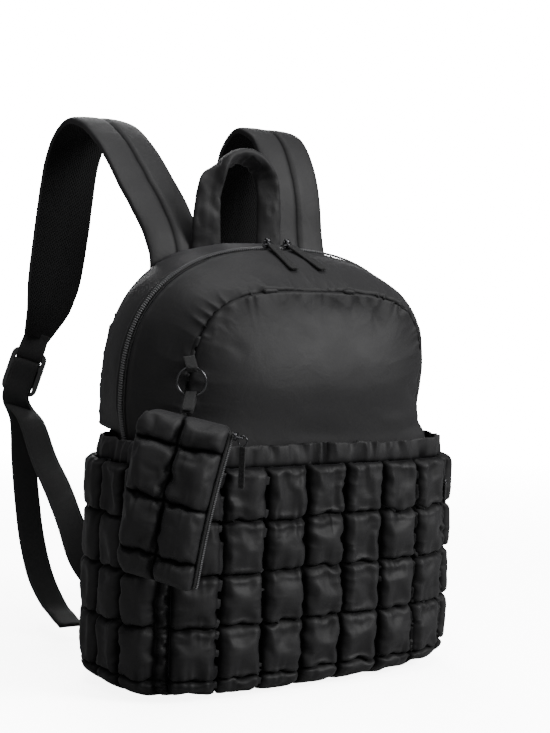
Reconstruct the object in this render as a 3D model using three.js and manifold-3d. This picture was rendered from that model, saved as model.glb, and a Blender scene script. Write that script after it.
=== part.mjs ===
import * as THREE from 'three';
import { mergeVertices } from 'three/addons/utils/BufferGeometryUtils.js';
import Module from 'manifold-3d';

// Quilted puffer backpack with a pouch hung from a ring. Millimetres, Z up, the front faces -Y.

// Quilted lower half: its plan is a squared-off oval, measured at the stitching.
const quiltHalfWidth = 168;
const quiltHalfDepth = 79;
const cornerPower = 3.6;
const lowestStitch = 20;
const tileHeight = 44;
const tileRows = 4;
const bandHeight = 18;
const frontColumns = 7;
const frontPitch = 41.6;
const gatherWidth = 11.2;
const sideColumns = 4;
const sidePitch = 35.3;
const puff = 7.5;
const rowPuff = 4;
const quiltBacking = 4;
const bandOuterInset = 2;
const bandThickness = 3;
const ruffleDepth = 1.6;
const baseInset = 25;
const baseThickness = 8;

// Main body: it stands inside the quilting and rises above it as an arch.
const bodyInset = 6;
const clothThickness = 2;
const backPadding = 6;
const seamGap = 0.4;
const archCentre = 245;
const seamArchHalf = 125;
const seamArchTop = 345;
const zipArchHalf = 159;
const zipArchTop = 378;
const backArchHalf = 142;
const backArchTop = 383;
const sideLowHalf = 150;
const frontBulge = 4;
const gussetSwell = { front: 5, back: 3 };
const zipFrontY = -4;
const zipTapeWidth = 10;
const backSeamY = 72;
const backBulge = 6;

// Carrying straps and small parts.
const webWidth = 25;
const webThickness = 1.6;
const padWidth = 62;
const padThickness = 11;
const ringRadius = 12;
const ringWire = 1.5;
const pouchPuff = 12;

const black = 0x17171a;
const satin = 0x222226;
const meshBlack = 0x121214;
const metal = 0x55565a;

const wasm = await Module();
wasm.setup();
const group = new THREE.Group();
group.name = 'quilted_backpack';

const vec = (x, y, z) => new THREE.Vector3(x, y, z);
const mix = (a, b, t) => a + (b - a) * t;
const mixVec = (a, b, t) => a.clone().lerp(b, t);
const clamp = (x, low, high) => Math.min(high, Math.max(low, x));
const smooth = (low, high, x) => {
  const t = clamp((x - low) / (high - low), 0, 1);
  return t * t * (3 - 2 * t);
};
const signedPower = (x, p) => Math.sign(x) * Math.abs(x) ** p;

// Solids are gathered as a point list and a face list, then turned outward.
function startSolid() {
  return { points: [], faces: [] };
}

function addPoint(solid, p) {
  solid.points.push(p);
  return solid.points.length - 1;
}

function addQuad(solid, a, b, c, d) {
  const p = solid.points;
  if (p[a].distanceTo(p[c]) <= p[b].distanceTo(p[d])) {
    solid.faces.push([a, b, c], [a, c, d]);
  } else {
    solid.faces.push([a, b, d], [b, c, d]);
  }
}

// Joins two edge lines that may have different counts of points.
function stitch(solid, first, second) {
  let i = 0;
  let j = 0;
  const m = first.length - 1;
  const n = second.length - 1;
  while (i < m || j < n) {
    if (j === n || (i < m && (i + 1) / m <= (j + 1) / n)) {
      solid.faces.push([first[i + 1], first[i], second[j]]);
      i += 1;
    } else {
      solid.faces.push([second[j], second[j + 1], first[i]]);
      j += 1;
    }
  }
}

function volumeOf(solid) {
  let total = 0;
  for (const [a, b, c] of solid.faces) {
    const [p, q, r] = [solid.points[a], solid.points[b], solid.points[c]];
    total += p.dot(q.clone().cross(r)) / 6;
  }
  return total;
}

function addMesh(name, solid, colour) {
  const turned = volumeOf(solid) < 0;
  const positions = [];
  const index = [];
  for (const p of solid.points) {
    positions.push(p.x, p.y, p.z);
  }
  for (const [a, b, c] of solid.faces) {
    index.push(a, turned ? c : b, turned ? b : c);
  }
  const geometry = new THREE.BufferGeometry();
  geometry.setAttribute('position', new THREE.Float32BufferAttribute(positions, 3));
  geometry.setIndex(index);
  geometry.computeVertexNormals();
  const material = new THREE.MeshStandardMaterial({ color: colour, roughness: 0.6 });
  const mesh = new THREE.Mesh(geometry, material);
  mesh.name = name;
  group.add(mesh);
}

// A cloth piece: an outer grid and an inner grid, joined round their four edges.
function clothSolid(outer, inner) {
  const solid = startSolid();
  const ids = outer.map((row) => row.map((p) => addPoint(solid, p)));
  const inIds = inner.map((row) => row.map((p) => addPoint(solid, p)));
  const edgesOf = (grid) => {
    const last = grid[0].length - 1;
    return [
      grid[0],
      grid.map((row) => row[last]),
      [...grid[grid.length - 1]].reverse(),
      grid.map((row) => row[0]).reverse(),
    ];
  };
  for (let r = 0; r + 1 < ids.length; r += 1) {
    for (let c = 0; c + 1 < ids[0].length; c += 1) {
      addQuad(solid, ids[r][c], ids[r][c + 1], ids[r + 1][c + 1], ids[r + 1][c]);
    }
  }
  for (let r = 0; r + 1 < inIds.length; r += 1) {
    for (let c = 0; c + 1 < inIds[0].length; c += 1) {
      addQuad(solid, inIds[r][c], inIds[r + 1][c], inIds[r + 1][c + 1], inIds[r][c + 1]);
    }
  }
  const outEdges = edgesOf(ids);
  const inEdges = edgesOf(inIds);
  outEdges.forEach((edge, k) => stitch(solid, edge, inEdges[k]));
  return solid;
}

// A tube of closed sections, capped at both ends or joined back to its own start.
function tubeSolid(rings, looped = false) {
  const solid = startSolid();
  const ids = rings.map((ring) => ring.map((p) => addPoint(solid, p)));
  const count = rings[0].length;
  const spans = looped ? rings.length : rings.length - 1;
  for (let r = 0; r < spans; r += 1) {
    const next = (r + 1) % rings.length;
    for (let c = 0; c < count; c += 1) {
      const d = (c + 1) % count;
      addQuad(solid, ids[r][c], ids[r][d], ids[next][d], ids[next][c]);
    }
  }
  if (!looped) {
    const middle = (ring) => ring.reduce((s, p) => s.add(p), vec(0, 0, 0)).divideScalar(count);
    const start = addPoint(solid, middle(rings[0]));
    const end = addPoint(solid, middle(rings[rings.length - 1]));
    const last = ids[ids.length - 1];
    for (let c = 0; c < count; c += 1) {
      const d = (c + 1) % count;
      solid.faces.push([ids[0][d], ids[0][c], start]);
      solid.faces.push([last[c], last[d], end]);
    }
  }
  return solid;
}

// Plan of the quilting. Places on it are found by their distance from the front centre line.
const planSteps = 1440;
const planTable = [];
for (let i = 0; i <= planSteps; i += 1) {
  const angle = -Math.PI / 2 + (Math.PI * i) / planSteps;
  const x = quiltHalfWidth * signedPower(Math.cos(angle), 2 / cornerPower);
  const y = quiltHalfDepth * signedPower(Math.sin(angle), 2 / cornerPower);
  const last = planTable[planTable.length - 1];
  const arc = last ? last.arc + Math.hypot(x - last.x, y - last.y) : 0;
  planTable.push({ angle, x, y, arc });
}

function planAngle(arc) {
  const wanted = Math.abs(arc);
  let k = 1;
  while (k < planSteps && planTable[k].arc < wanted) {
    k += 1;
  }
  const [a, b] = [planTable[k - 1], planTable[k]];
  const t = (wanted - a.arc) / Math.max(b.arc - a.arc, 1e-9);
  return mix(a.angle, b.angle, clamp(t, 0, 1));
}

function planAt(arc, inset) {
  const angle = planAngle(arc);
  const side = Math.sign(arc) || 1;
  const x = (quiltHalfWidth - inset) * signedPower(Math.cos(angle), 2 / cornerPower);
  const y = (quiltHalfDepth - inset) * signedPower(Math.sin(angle), 2 / cornerPower);
  return { x: side * x, y };
}

function planNormal(arc) {
  const { x, y } = planAt(arc, 0);
  const nx = signedPower(x / quiltHalfWidth, cornerPower - 1) / quiltHalfWidth;
  const ny = signedPower(y / quiltHalfDepth, cornerPower - 1) / quiltHalfDepth;
  const size = Math.hypot(nx, ny);
  return { x: nx / size, y: ny / size };
}

// Arcs where the panels meet, and the heights of the quilting.
const frontArc = (frontColumns / 2) * frontPitch;
const sideArc = frontArc + gatherWidth;
const backArc = sideArc + sideColumns * sidePitch;
const quiltTop = lowestStitch + tileRows * tileHeight;
const bandTop = quiltTop + bandHeight;

const hump = (t) => Math.sin(Math.PI * clamp(t, 0, 1)) ** 0.7;

// Puff of one tile: full in the middle, low along its sides, partly held along the rows.
function tilePuff(across, up, scale) {
  return scale * puff * hump(across) * mix(rowPuff / puff, 1, hump(up));
}

// Columns of the quilting as places round the plan, each with its share of the puff.
function tileColumns(start, pitches, cuts) {
  const list = [];
  let arc = start;
  pitches.forEach(([pitch, scale], k) => {
    for (let c = 0; c < cuts; c += 1) {
      list.push({ arc: arc + (pitch * c) / cuts, across: c / cuts, scale });
    }
    arc += pitch;
    if (k === pitches.length - 1) {
      list.push({ arc, across: 1, scale });
    }
  });
  return list;
}

// One quilted panel from the base seam up to the band, padded out over a flat lining.
function quiltPanel(name, start, pitches) {
  const cuts = 4;
  const rowCuts = 3;
  const columns = tileColumns(start, pitches, cuts);
  columns[0].arc += seamGap * Math.sign(columns[cuts].arc - start);
  columns[columns.length - 1].arc -= seamGap * Math.sign(columns[cuts].arc - start);
  const rows = [];
  const curlRows = 3;
  for (let k = curlRows; k >= 1; k -= 1) {
    rows.push({ curl: ((k / curlRows) * Math.PI) / 2, z: lowestStitch, up: 1 - k / curlRows });
  }
  for (let r = 0; r < tileRows; r += 1) {
    for (let k = 0; k < rowCuts; k += 1) {
      rows.push({ curl: 0, z: lowestStitch + tileHeight * (r + k / rowCuts), up: k / rowCuts });
    }
  }
  rows.push({ curl: 0, z: quiltTop - seamGap / 2, up: 1 });
  const drop = lowestStitch - 1.5;
  const reach = baseInset - seamGap;
  const point = (row, column, out) => {
    const inset = reach * (1 - Math.cos(row.curl));
    const p = planAt(column.arc, inset);
    const n = planNormal(column.arc);
    const fade = Math.cos(row.curl);
    const z = row.z - (drop + Math.min(out, 0)) * Math.sin(row.curl);
    return vec(p.x + n.x * out * fade, p.y + n.y * out * fade, z);
  };
  const outer = rows.map((row) => columns.map((column) => {
    const belly = row.curl > 0 ? Math.cos(row.curl) ** 0.5 : 1;
    return point(row, column, tilePuff(column.across, row.up, column.scale) * belly);
  }));
  const inRows = rows.filter((row, k) => row.curl > 0 || (k - curlRows) % rowCuts === 0);
  const inColumns = columns.filter((column, k) => k % cuts === 0 || k % cuts === 2);
  const inner = inRows.map((row) => inColumns.map((column) => point(row, column, -quiltBacking)));
  addMesh(name, clothSolid(outer, inner), satin);
}

const gatherScale = 0.45;
const repeat = (count, item) => Array.from({ length: count }, () => item);
quiltPanel('front_quilt', -frontArc, repeat(frontColumns, [frontPitch, 1]));
const sideTiles = [[gatherWidth, gatherScale], ...repeat(sideColumns, [sidePitch, 1])];
quiltPanel('side_quilt_right', frontArc, sideTiles);
quiltPanel('side_quilt_left', -frontArc, sideTiles.map(([pitch, scale]) => [-pitch, scale]));

// Elastic band along the top of the quilting, gathered into small ruffles.
function bandPanel(name, start, end, ruffles) {
  const count = ruffles * 2;
  const outer = [];
  const inner = [];
  const heights = [0, 0.25, 0.8, 1];
  const side = Math.sign(end - start);
  heights.forEach((share, r) => {
    const outRow = [];
    const inRow = [];
    for (let k = 0; k <= count; k += 1) {
      const [nearEnd, farEnd] = [start * side + seamGap / 2, end * side - seamGap / 2];
      const arc = clamp(mix(start, end, k / count) * side, nearEnd, farEnd);
      const wave = k % 2 === 1 ? ruffleDepth : 0;
      const swell = r === 1 || r === 2 ? 1 : 0.3;
      const p = planAt(arc * side, bandOuterInset);
      const n = planNormal(arc * side);
      const out = wave * swell;
      const z = mix(quiltTop + seamGap / 2, bandTop - (k % 2) * 1.2, share);
      outRow.push(vec(p.x + n.x * out, p.y + n.y * out, z));
      const q = planAt(arc * side, bandOuterInset + bandThickness);
      inRow.push(vec(q.x, q.y, z));
    }
    outer.push(outRow);
    inner.push(inRow);
  });
  addMesh(name, clothSolid(outer, [inner[0], inner[3]]), satin);
}

bandPanel('front_band', -frontArc, frontArc, 19);
bandPanel('side_band_right', frontArc, backArc, 10);
bandPanel('side_band_left', -frontArc, -backArc, 10);

// Base: a padded board inside the bottom seam, flat underneath.
const baseCuts = 40;
const baseRing = [];
for (let k = 0; k < baseCuts; k += 1) {
  const share = -1 + (2 * k) / baseCuts;
  baseRing.push(share * planTable[planSteps].arc);
}
const baseLoop = (inset, z) => baseRing.map((arc) => {
  const p = planAt(arc, inset);
  return vec(p.x, p.y, z);
});
addMesh('base_panel', tubeSolid([
  baseLoop(baseInset + 3, 0),
  baseLoop(baseInset + 0.4, 2),
  baseLoop(baseInset + 0.4, baseThickness),
]), black);

// The seams of the body. Each runs up the left side, over the arch and down the right side.
const zipBackY = zipFrontY + zipTapeWidth;
const archCuts = 16;
const gussetCuts = 3;
const lowHeights = [lowestStitch + 8, 70, 130, quiltTop - 8, quiltTop + 2, bandTop + 2, bandTop + 14];
const curlAngles = [1, 0.66, 0.33].map((share) => (share * Math.PI) / 2);
const seamLow = planAt(frontArc, bodyInset);
const backLow = planAt(backArc, bodyInset + 1.5);
const pocketZipY = zipFrontY + zipTapeWidth / 2;
const seamTable = [
  // key, x and y in the pockets, heights it swells between, arch half and top, power, y at side and top
  ['front', seamLow.x, seamLow.y, quiltTop - 10, archCentre, seamArchHalf, seamArchTop, 3.5, -47, -60],
  ['zipFront', sideLowHalf, pocketZipY - 0.2, quiltTop - 10, archCentre,
    zipArchHalf, zipArchTop, 2.5, zipFrontY, zipFrontY],
  ['zipBack', sideLowHalf, pocketZipY + 0.2, quiltTop - 10, archCentre,
    zipArchHalf, zipArchTop + 1, 2.5, zipBackY, zipBackY],
  ['back', backLow.x, backLow.y, bandTop + 1, bandTop + 14,
    backArchHalf, backArchTop, 2.4, backSeamY, backSeamY],
].map(([key, lowX, lowY, leave, reach, half, top, power, sideY, topY]) => (
  { key, lowX, lowY, leave, reach, half, top, power, sideY, topY }
));

function archShape(half, rise, power, cuts) {
  const fine = [];
  const steps = 720;
  let length = 0;
  for (let k = 0; k <= steps; k += 1) {
    const angle = Math.PI * (1 - k / steps);
    const x = half * signedPower(Math.cos(angle), 2 / power);
    const z = rise * Math.sin(angle) ** (2 / power);
    if (k > 0) {
      length += Math.hypot(x - fine[k - 1].x, z - fine[k - 1].z);
    }
    fine.push({ x, z, length });
  }
  const list = [];
  let j = 0;
  for (let k = 0; k <= cuts; k += 1) {
    const wanted = (length * k) / cuts;
    while (j < steps && fine[j].length < wanted) {
      j += 1;
    }
    list.push({ x: fine[j].x, z: fine[j].z });
  }
  list[cuts / 2].x = 0;
  return list;
}

const loopHalfWidth = quiltHalfWidth - baseInset + 2;
const loopHalfDepth = quiltHalfDepth - baseInset + 2;
const bodyBottom = 6.8;

// A point of the base seam at the same share of its width as the given point of the body.
function baseSeamPoint(x, y, halfX, halfY) {
  const angle = Math.atan2(signedPower(y / halfY, cornerPower / 2), signedPower(x / halfX, cornerPower / 2));
  return {
    x: loopHalfWidth * signedPower(Math.cos(angle), 2 / cornerPower),
    y: loopHalfDepth * signedPower(Math.sin(angle), 2 / cornerPower),
  };
}

function curledPoint(x, y, curl) {
  const base = baseSeamPoint(x, y, quiltHalfWidth - bodyInset, quiltHalfDepth - bodyInset);
  const t = 1 - Math.cos(curl);
  const rise = lowHeights[0] - bodyBottom;
  return vec(mix(x, base.x, t), mix(y, base.y, t), lowHeights[0] - rise * Math.sin(curl));
}

function seamPoints(seam) {
  const left = curlAngles.map((curl) => curledPoint(-seam.lowX, seam.lowY, curl));
  for (const z of lowHeights) {
    const t = smooth(seam.leave, seam.reach, z);
    const x = mix(seam.lowX, seam.half, t);
    left.push(vec(-x, mix(seam.lowY, seam.sideY, t), z));
  }
  const arch = archShape(seam.half, seam.top - archCentre, seam.power, archCuts).map(({ x, z }) => {
    const t = smooth(0, 1, z / (seam.top - archCentre));
    return vec(x, mix(seam.sideY, seam.topY, t), archCentre + z);
  });
  const right = left.map((p) => vec(-p.x, p.y, p.z)).reverse();
  return [...left, ...arch, ...right];
}

const seams = {};
for (const seam of seamTable) {
  seams[seam.key] = seamPoints(seam);
}

// Grid between two seams; the rows between them swell outward.
function sideGrid(from, to, cuts, swell) {
  const rows = [];
  const count = from.length;
  for (let r = 0; r <= cuts; r += 1) {
    const t = r / cuts;
    rows.push(from.map((p, k) => {
      const point = mixVec(p, to[k], t);
      const nearBase = Math.min(k, count - 1 - k);
      if (nearBase < curlAngles.length) {
        const low = curlAngles.length;
        const above = nearBase === k ? low : count - 1 - low;
        const high = mixVec(from[above], to[above], t);
        return curledPoint(high.x, high.y, curlAngles[nearBase]);
      }
      const before = from[Math.max(k - 1, 0)];
      const after = from[Math.min(k + 1, count - 1)];
      const along = after.clone().sub(before);
      const out = vec(-along.z, 0, along.x).normalize();
      return point.addScaledVector(out, swell(p.z) * Math.sin(Math.PI * t));
    }));
  }
  return rows;
}

// Grid inside one seam: rows run across from its left side to its right side.
function faceGrid(seam, middleY, power, curlDepth) {
  const corner = archCuts / 4;
  const low = curlAngles.length + lowHeights.length;
  const across = archCuts - 2 * corner;
  const count = seam.length;
  const rows = [];
  for (let r = 0; r < low + corner + 1; r += 1) {
    const left = seam[r];
    const right = seam[count - 1 - r];
    const row = [];
    for (let c = 0; c <= across; c += 1) {
      const a = c / across;
      const point = mixVec(left, right, a);
      if (r < curlAngles.length) {
        const edge = seam[curlAngles.length];
        const x = mix(edge.x, -edge.x, a);
        const y = mix(middleY(lowHeights[0]), edge.y, Math.abs(x / edge.x) ** power);
        row.push(curledPoint(x, y, curlAngles[r]));
        continue;
      }
      if (r < low) {
        const bow = Math.abs(2 * a - 1) ** power;
        point.y = mix(middleY(left.z), left.y, bow);
        row.push(point);
        continue;
      }
      const b = (r - low) / corner;
      const top = seam[low + corner + c];
      const start = seam[low];
      const bottom = mixVec(start, seam[count - 1 - low], a);
      const x = mix(bottom.x, top.x, b) + (left.x - mix(start.x, seam[low + corner].x, b)) * (1 - 2 * a);
      const z = mix(bottom.z, top.z, b) + (left.z - mix(start.z, seam[low + corner].z, b));
      const half = Math.abs(start.x);
      const rise = curlDepth.top - archCentre;
      const { power: rimPower } = curlDepth;
      const rim = Math.abs(x / half) ** rimPower + Math.abs((z - archCentre) / rise) ** rimPower;
      const reach = clamp(rim ** (1 / rimPower), 0, 1);
      const seamY = mix(start.y, seam[low + archCuts / 2].y, smooth(0, 1, (z - archCentre) / rise));
      row.push(vec(x, mix(middleY(z), seamY, reach ** power), z));
    }
    rows.push(row);
  }
  rows[low + corner].forEach((p, c) => p.copy(seam[low + corner + c]));
  return rows;
}

function gridNormals(grid, outward) {
  return grid.map((row, r) => row.map((p, c) => {
    const up = grid[Math.min(r + 1, grid.length - 1)][c].clone().sub(grid[Math.max(r - 1, 0)][c]);
    const across = row[Math.min(c + 1, row.length - 1)].clone().sub(row[Math.max(c - 1, 0)]);
    const n = across.cross(up).normalize();
    return n.dot(outward(p)) < 0 ? n.negate() : n;
  }));
}

const fromMiddle = (p) => vec(p.x, p.y * 1.5, (p.z - 150) * 0.6);

// Front and back faces of the body, and the side and top panels between the seams.
const frontMiddle = (z) => {
  const low = -(quiltHalfDepth - bodyInset);
  const belly = smooth(bandTop, archCentre + 20, z) * (1 - smooth(archCentre + 30, seamArchTop, z));
  return mix(low, -62, smooth(archCentre + 10, seamArchTop, z)) - frontBulge * belly;
};
const backMiddle = (z) => {
  const low = quiltHalfDepth - bodyInset;
  return mix(low + 2, backSeamY + backBulge, smooth(60, 200, z)) - 4 * smooth(330, backArchTop, z);
};
const swellFront = (z) => gussetSwell.front * smooth(bandTop, archCentre + 40, z);
const swellBack = (z) => gussetSwell.back * smooth(bandTop, archCentre + 20, z);
const grids = {
  front_panel: faceGrid(seams.front, frontMiddle, 3.7, { top: seamArchTop, power: 3.5 }),
  gusset_front: sideGrid(seams.front, seams.zipFront, gussetCuts, swellFront),
  gusset_back: sideGrid(seams.zipBack, seams.back, gussetCuts, swellBack),
  back_panel: faceGrid(seams.back, backMiddle, 6, { top: backArchTop, power: 2.4 }),
};
const normals = {};
for (const [name, grid] of Object.entries(grids)) {
  normals[name] = gridNormals(grid, fromMiddle);
}

// At a seam both panels are cut along the line halfway between their faces.
function seamNormals(name, seamRow) {
  const grid = normals[name];
  if (name.startsWith('gusset')) {
    return grid[seamRow];
  }
  const corner = archCuts / 4;
  const low = curlAngles.length + lowHeights.length;
  const last = low + corner;
  const list = [];
  for (let r = 0; r < last; r += 1) {
    list.push(grid[r][0]);
  }
  list.push(...grid[last]);
  for (let r = last - 1; r >= 0; r -= 1) {
    list.push(grid[r][grid[r].length - 1]);
  }
  return list;
}

function mitre(first, second) {
  return first.map((n, k) => {
    const sum = n.clone().add(second[k]);
    return sum.divideScalar(Math.max(1 + n.dot(second[k]), 0.35));
  });
}

const zipCut = mitre(seamNormals('gusset_front', gussetCuts), seamNormals('gusset_back', 0));
const cuts = {
  front: mitre(seamNormals('front_panel'), seamNormals('gusset_front', 0)),
  zip: zipCut,
  back: mitre(seamNormals('back_panel'), seamNormals('gusset_back', gussetCuts)),
};

// Rows of a side panel: the outer face, and the inner face a thickness inside it.
function sidePanel(name, grid, faceNormals, startCut, endCut) {
  const rows = grid.length - 1;
  const depth = (r, c) => {
    const edge = Math.min(c, grid[0].length - 1 - c);
    return edge === 0 ? vec(0, 0, -clothThickness) : null;
  };
  const inner = grid.map((row, r) => row.map((p, c) => {
    const fixed = depth(r, c);
    if (fixed) {
      return p.clone().sub(fixed);
    }
    const n = r === 0 ? startCut[c] : r === rows ? endCut[c] : faceNormals[r][c];
    return p.clone().addScaledVector(n, -clothThickness);
  }));
  pullIn(grid, inner, 0, 1);
  pullIn(grid, inner, rows, rows - 1);
  addMesh(name, clothSolid(grid, inner), satin);
}

// Moves an edge row a little way in so that neighbours stay clear of each other.
function pullIn(outer, inner, edge, next) {
  outer[edge].forEach((p, c) => {
    const step = outer[next][c].clone().sub(p).normalize().multiplyScalar(seamGap / 2);
    p.add(step);
    inner[edge][c].add(step);
  });
}

sidePanel('gusset_front', grids.gusset_front, normals.gusset_front, cuts.front, cuts.zip);
sidePanel('gusset_back', grids.gusset_back, normals.gusset_back, cuts.zip, cuts.back);

function facePanel(name, grid, faceNormals, cut, padding, colour) {
  const corner = archCuts / 4;
  const low = curlAngles.length + lowHeights.length;
  const last = low + corner;
  const wide = grid[0].length - 1;
  const cutAt = (r, c) => {
    if (r === last) {
      return cut[last + c];
    }
    return c === 0 ? cut[r] : c === wide ? cut[cut.length - 1 - r] : null;
  };
  const inner = grid.map((row, r) => row.map((p, c) => {
    if (r === 0) {
      return p.clone().add(vec(0, 0, clothThickness));
    }
    const edge = cutAt(r, c);
    if (edge) {
      return p.clone().addScaledVector(edge, -clothThickness);
    }
    const rim = Math.min(c, wide - c, last - r, r) / 2;
    const deep = mix(clothThickness, padding, smooth(0.4, 1, rim));
    return p.clone().addScaledVector(faceNormals[r][c], -deep);
  }));
  const moves = [];
  for (let r = 0; r <= last; r += 1) {
    for (const c of r === last ? grid[r].keys() : [0, wide]) {
      const target = grid[Math.max(r === last ? last - 1 : r, 0)][clamp(c, 1, wide - 1)];
      const step = target.clone().sub(grid[r][c]).normalize().multiplyScalar(seamGap / 2);
      moves.push([r, c, step]);
    }
  }
  for (const [r, c, step] of moves) {
    grid[r][c].add(step);
    inner[r][c].add(step);
  }
  addMesh(name, clothSolid(grid, inner), colour);
}

facePanel('front_panel', grids.front_panel, normals.front_panel, cuts.front, clothThickness, satin);
facePanel('back_panel', grids.back_panel, normals.back_panel, cuts.back, backPadding, meshBlack);

// Main zip: a tape with a raised coil, from one pocket band over the arch to the other.
const zipStart = curlAngles.length + 5;
const coilRise = 1.5;
const zipProfile = [[0.03, 0], [0.33, 0], [0.4, coilRise], [0.6, coilRise], [0.67, 0], [0.97, 0]];
const zipEnd = seams.zipFront.length - 1 - zipStart;
const zipOuter = zipProfile.map(() => []);
const zipInner = [[], []];
for (let k = zipStart; k <= zipEnd; k += 1) {
  const [a, b] = [seams.zipFront[k], seams.zipBack[k]];
  const n = cuts.zip[k].clone().normalize();
  const width = a.distanceTo(b);
  zipProfile.forEach(([share, rise], r) => {
    const t = r === 0 ? seamGap / 2 / width : r === zipProfile.length - 1 ? 1 - seamGap / 2 / width : share;
    zipOuter[r].push(mixVec(a, b, t).addScaledVector(n, rise));
  });
  [seamGap / 2 / width, 1 - seamGap / 2 / width].forEach((t, r) => {
    zipInner[r].push(mixVec(a, b, t).addScaledVector(cuts.zip[k], -clothThickness));
  });
}
addMesh('main_zip', clothSolid(zipOuter, zipInner), black);

// Straps are swept along rows of x, y, z, width and thickness, one row per point of the path.
const webSection = [[-0.5, -0.5], [0.5, -0.5], [0.5, 0.5], [-0.5, 0.5]];
const padSection = [
  [-0.5, 0], [-0.42, -0.42], [-0.18, -0.5], [0, -0.36], [0.18, -0.5], [0.42, -0.42],
  [0.5, 0], [0.4, 0.44], [0, 0.5], [-0.4, 0.44],
];
const handleSection = [
  [-0.5, 0], [-0.4, -0.4], [0, -0.5], [0.4, -0.4], [0.5, 0], [0.4, 0.4], [0, 0.3], [-0.4, 0.4],
];

function sweepRings(rows, section, acrossAt, cutsPerRow) {
  const curve = new THREE.CatmullRomCurve3(rows.map((row) => vec(...row)), false, 'centripetal');
  const spans = rows.length - 1;
  const count = spans * cutsPerRow;
  const rings = [];
  for (let k = 0; k <= count; k += 1) {
    const t = k / count;
    const along = curve.getTangent(t);
    const across = acrossAt(t).clone();
    across.addScaledVector(along, -across.dot(along)).normalize();
    const up = along.clone().cross(across);
    const place = t * spans;
    const low = Math.min(Math.floor(place), spans - 1);
    const width = mix(rows[low][3], rows[low + 1][3], place - low);
    const thick = mix(rows[low][4], rows[low + 1][4], place - low);
    const centre = curve.getPoint(t);
    rings.push(section.map(([s, h]) => centre.clone()
      .addScaledVector(across, s * width)
      .addScaledVector(up, h * thick)));
  }
  return rings;
}

const mirrorRows = (rows) => rows.map(([x, ...rest]) => [-x, ...rest]);
const alongX = () => vec(1, 0, 0);

// The pads leave the back at the top seam, arch over and hang behind it.
const wide = padWidth;
const narrow = webWidth + 3;
const thin = padThickness - 4;
const leftPad = [
  [-71, 79.1, 350, wide + 3, thin],
  [-71, 79.5, 368, wide + 3, thin],
  [-70, 88, 389, wide + 3, padThickness],
  [-68, 105, 413, wide + 3, padThickness],
  [-67, 130, 437, wide + 2, padThickness],
  [-66, 157, 460, wide, padThickness],
  [-65, 188, 482, wide, padThickness],
  [-64, 220, 497, wide, padThickness],
  [-65, 248, 500, wide - 2, padThickness],
  [-67, 270, 486, wide - 2, padThickness],
  [-71, 281, 458, wide - 2, padThickness],
  [-75, 281, 430, wide - 2, padThickness],
  [-81, 276, 400, wide - 2, padThickness],
  [-88, 270, 368, wide - 3, padThickness],
  [-95, 265, 338, wide - 6, padThickness],
  [-101, 263, 316, wide - 14, padThickness],
  [-108, 263, 297, wide - 26, padThickness - 2],
  [-113, 264, 284, narrow, thin],
];
const rightPad = [
  [75, 79.1, 350, wide + 1, thin],
  [75, 79.5, 368, wide + 1, thin],
  [75, 86, 392, wide + 1, padThickness],
  [75, 92, 428, wide, padThickness],
  [73, 103, 464, wide, padThickness],
  [70, 120, 489, wide - 1, padThickness],
  [65, 141, 494, wide - 2, padThickness],
  [61, 156, 478, wide - 2, padThickness],
  [59, 164, 450, wide - 2, padThickness],
  [59, 172, 415, wide - 2, padThickness],
  [62, 180, 378, wide - 3, padThickness],
  [68, 187, 342, wide - 6, padThickness],
  [75, 191, 312, wide - 14, padThickness],
  [82, 192, 290, wide - 26, padThickness - 2],
  [87, 192, 276, narrow, thin],
];
addMesh('strap_pad_left', tubeSolid(sweepRings(leftPad, padSection, alongX, 2)), satin);
addMesh('strap_pad_right', tubeSolid(sweepRings(rightPad, padSection, alongX, 2)), satin);

// Strap buckle: a frame with two slots. Its own axes are across, up the strap, and outward.
const buckleWidth = 36;
const buckleHeight = 46;
const buckleThickness = 4.4;
const barHeights = { top: 18.5, middle: 6.5 };
const barDepth = 5;
const loopReach = Math.hypot(barDepth, buckleThickness) / 2 + webThickness / 2 + seamGap;

function slot(low, high) {
  const half = webWidth / 2 + 1;
  const path = new THREE.Path();
  path.moveTo(-half, low);
  path.lineTo(half, low);
  path.lineTo(half, high);
  path.lineTo(-half, high);
  path.closePath();
  return path;
}

function buckleGeometry() {
  const shape = new THREE.Shape();
  const [w, h, r] = [buckleWidth / 2, buckleHeight / 2, 9];
  shape.moveTo(-w + r, -h);
  shape.lineTo(w - r, -h);
  shape.quadraticCurveTo(w, -h, w, -h + r);
  shape.lineTo(w, h - r);
  shape.quadraticCurveTo(w, h, w - r, h);
  shape.lineTo(-w + r, h);
  shape.quadraticCurveTo(-w, h, -w, h - r);
  shape.lineTo(-w, -h + r);
  shape.quadraticCurveTo(-w, -h, -w + r, -h);
  shape.holes.push(slot(barHeights.middle + barDepth / 2, barHeights.top - barDepth / 2));
  shape.holes.push(slot(-buckleHeight / 2 + barDepth, barHeights.middle - barDepth / 2));
  const geometry = new THREE.ExtrudeGeometry(shape, {
    depth: buckleThickness,
    bevelEnabled: false,
    curveSegments: 4,
  });
  geometry.translate(0, 0, -buckleThickness / 2);
  return geometry;
}

// Half turn of webbing round a bar, as rows in the buckle's own axes: height, outward.
function barTurn(barHeight, opensUp) {
  const turn = [];
  for (let k = 0; k <= 4; k += 1) {
    const angle = (Math.PI * k) / 4;
    const side = opensUp ? -1 : 1;
    turn.push([barHeight + side * loopReach * Math.sin(angle), -loopReach * Math.cos(angle)]);
  }
  return turn;
}

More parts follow.
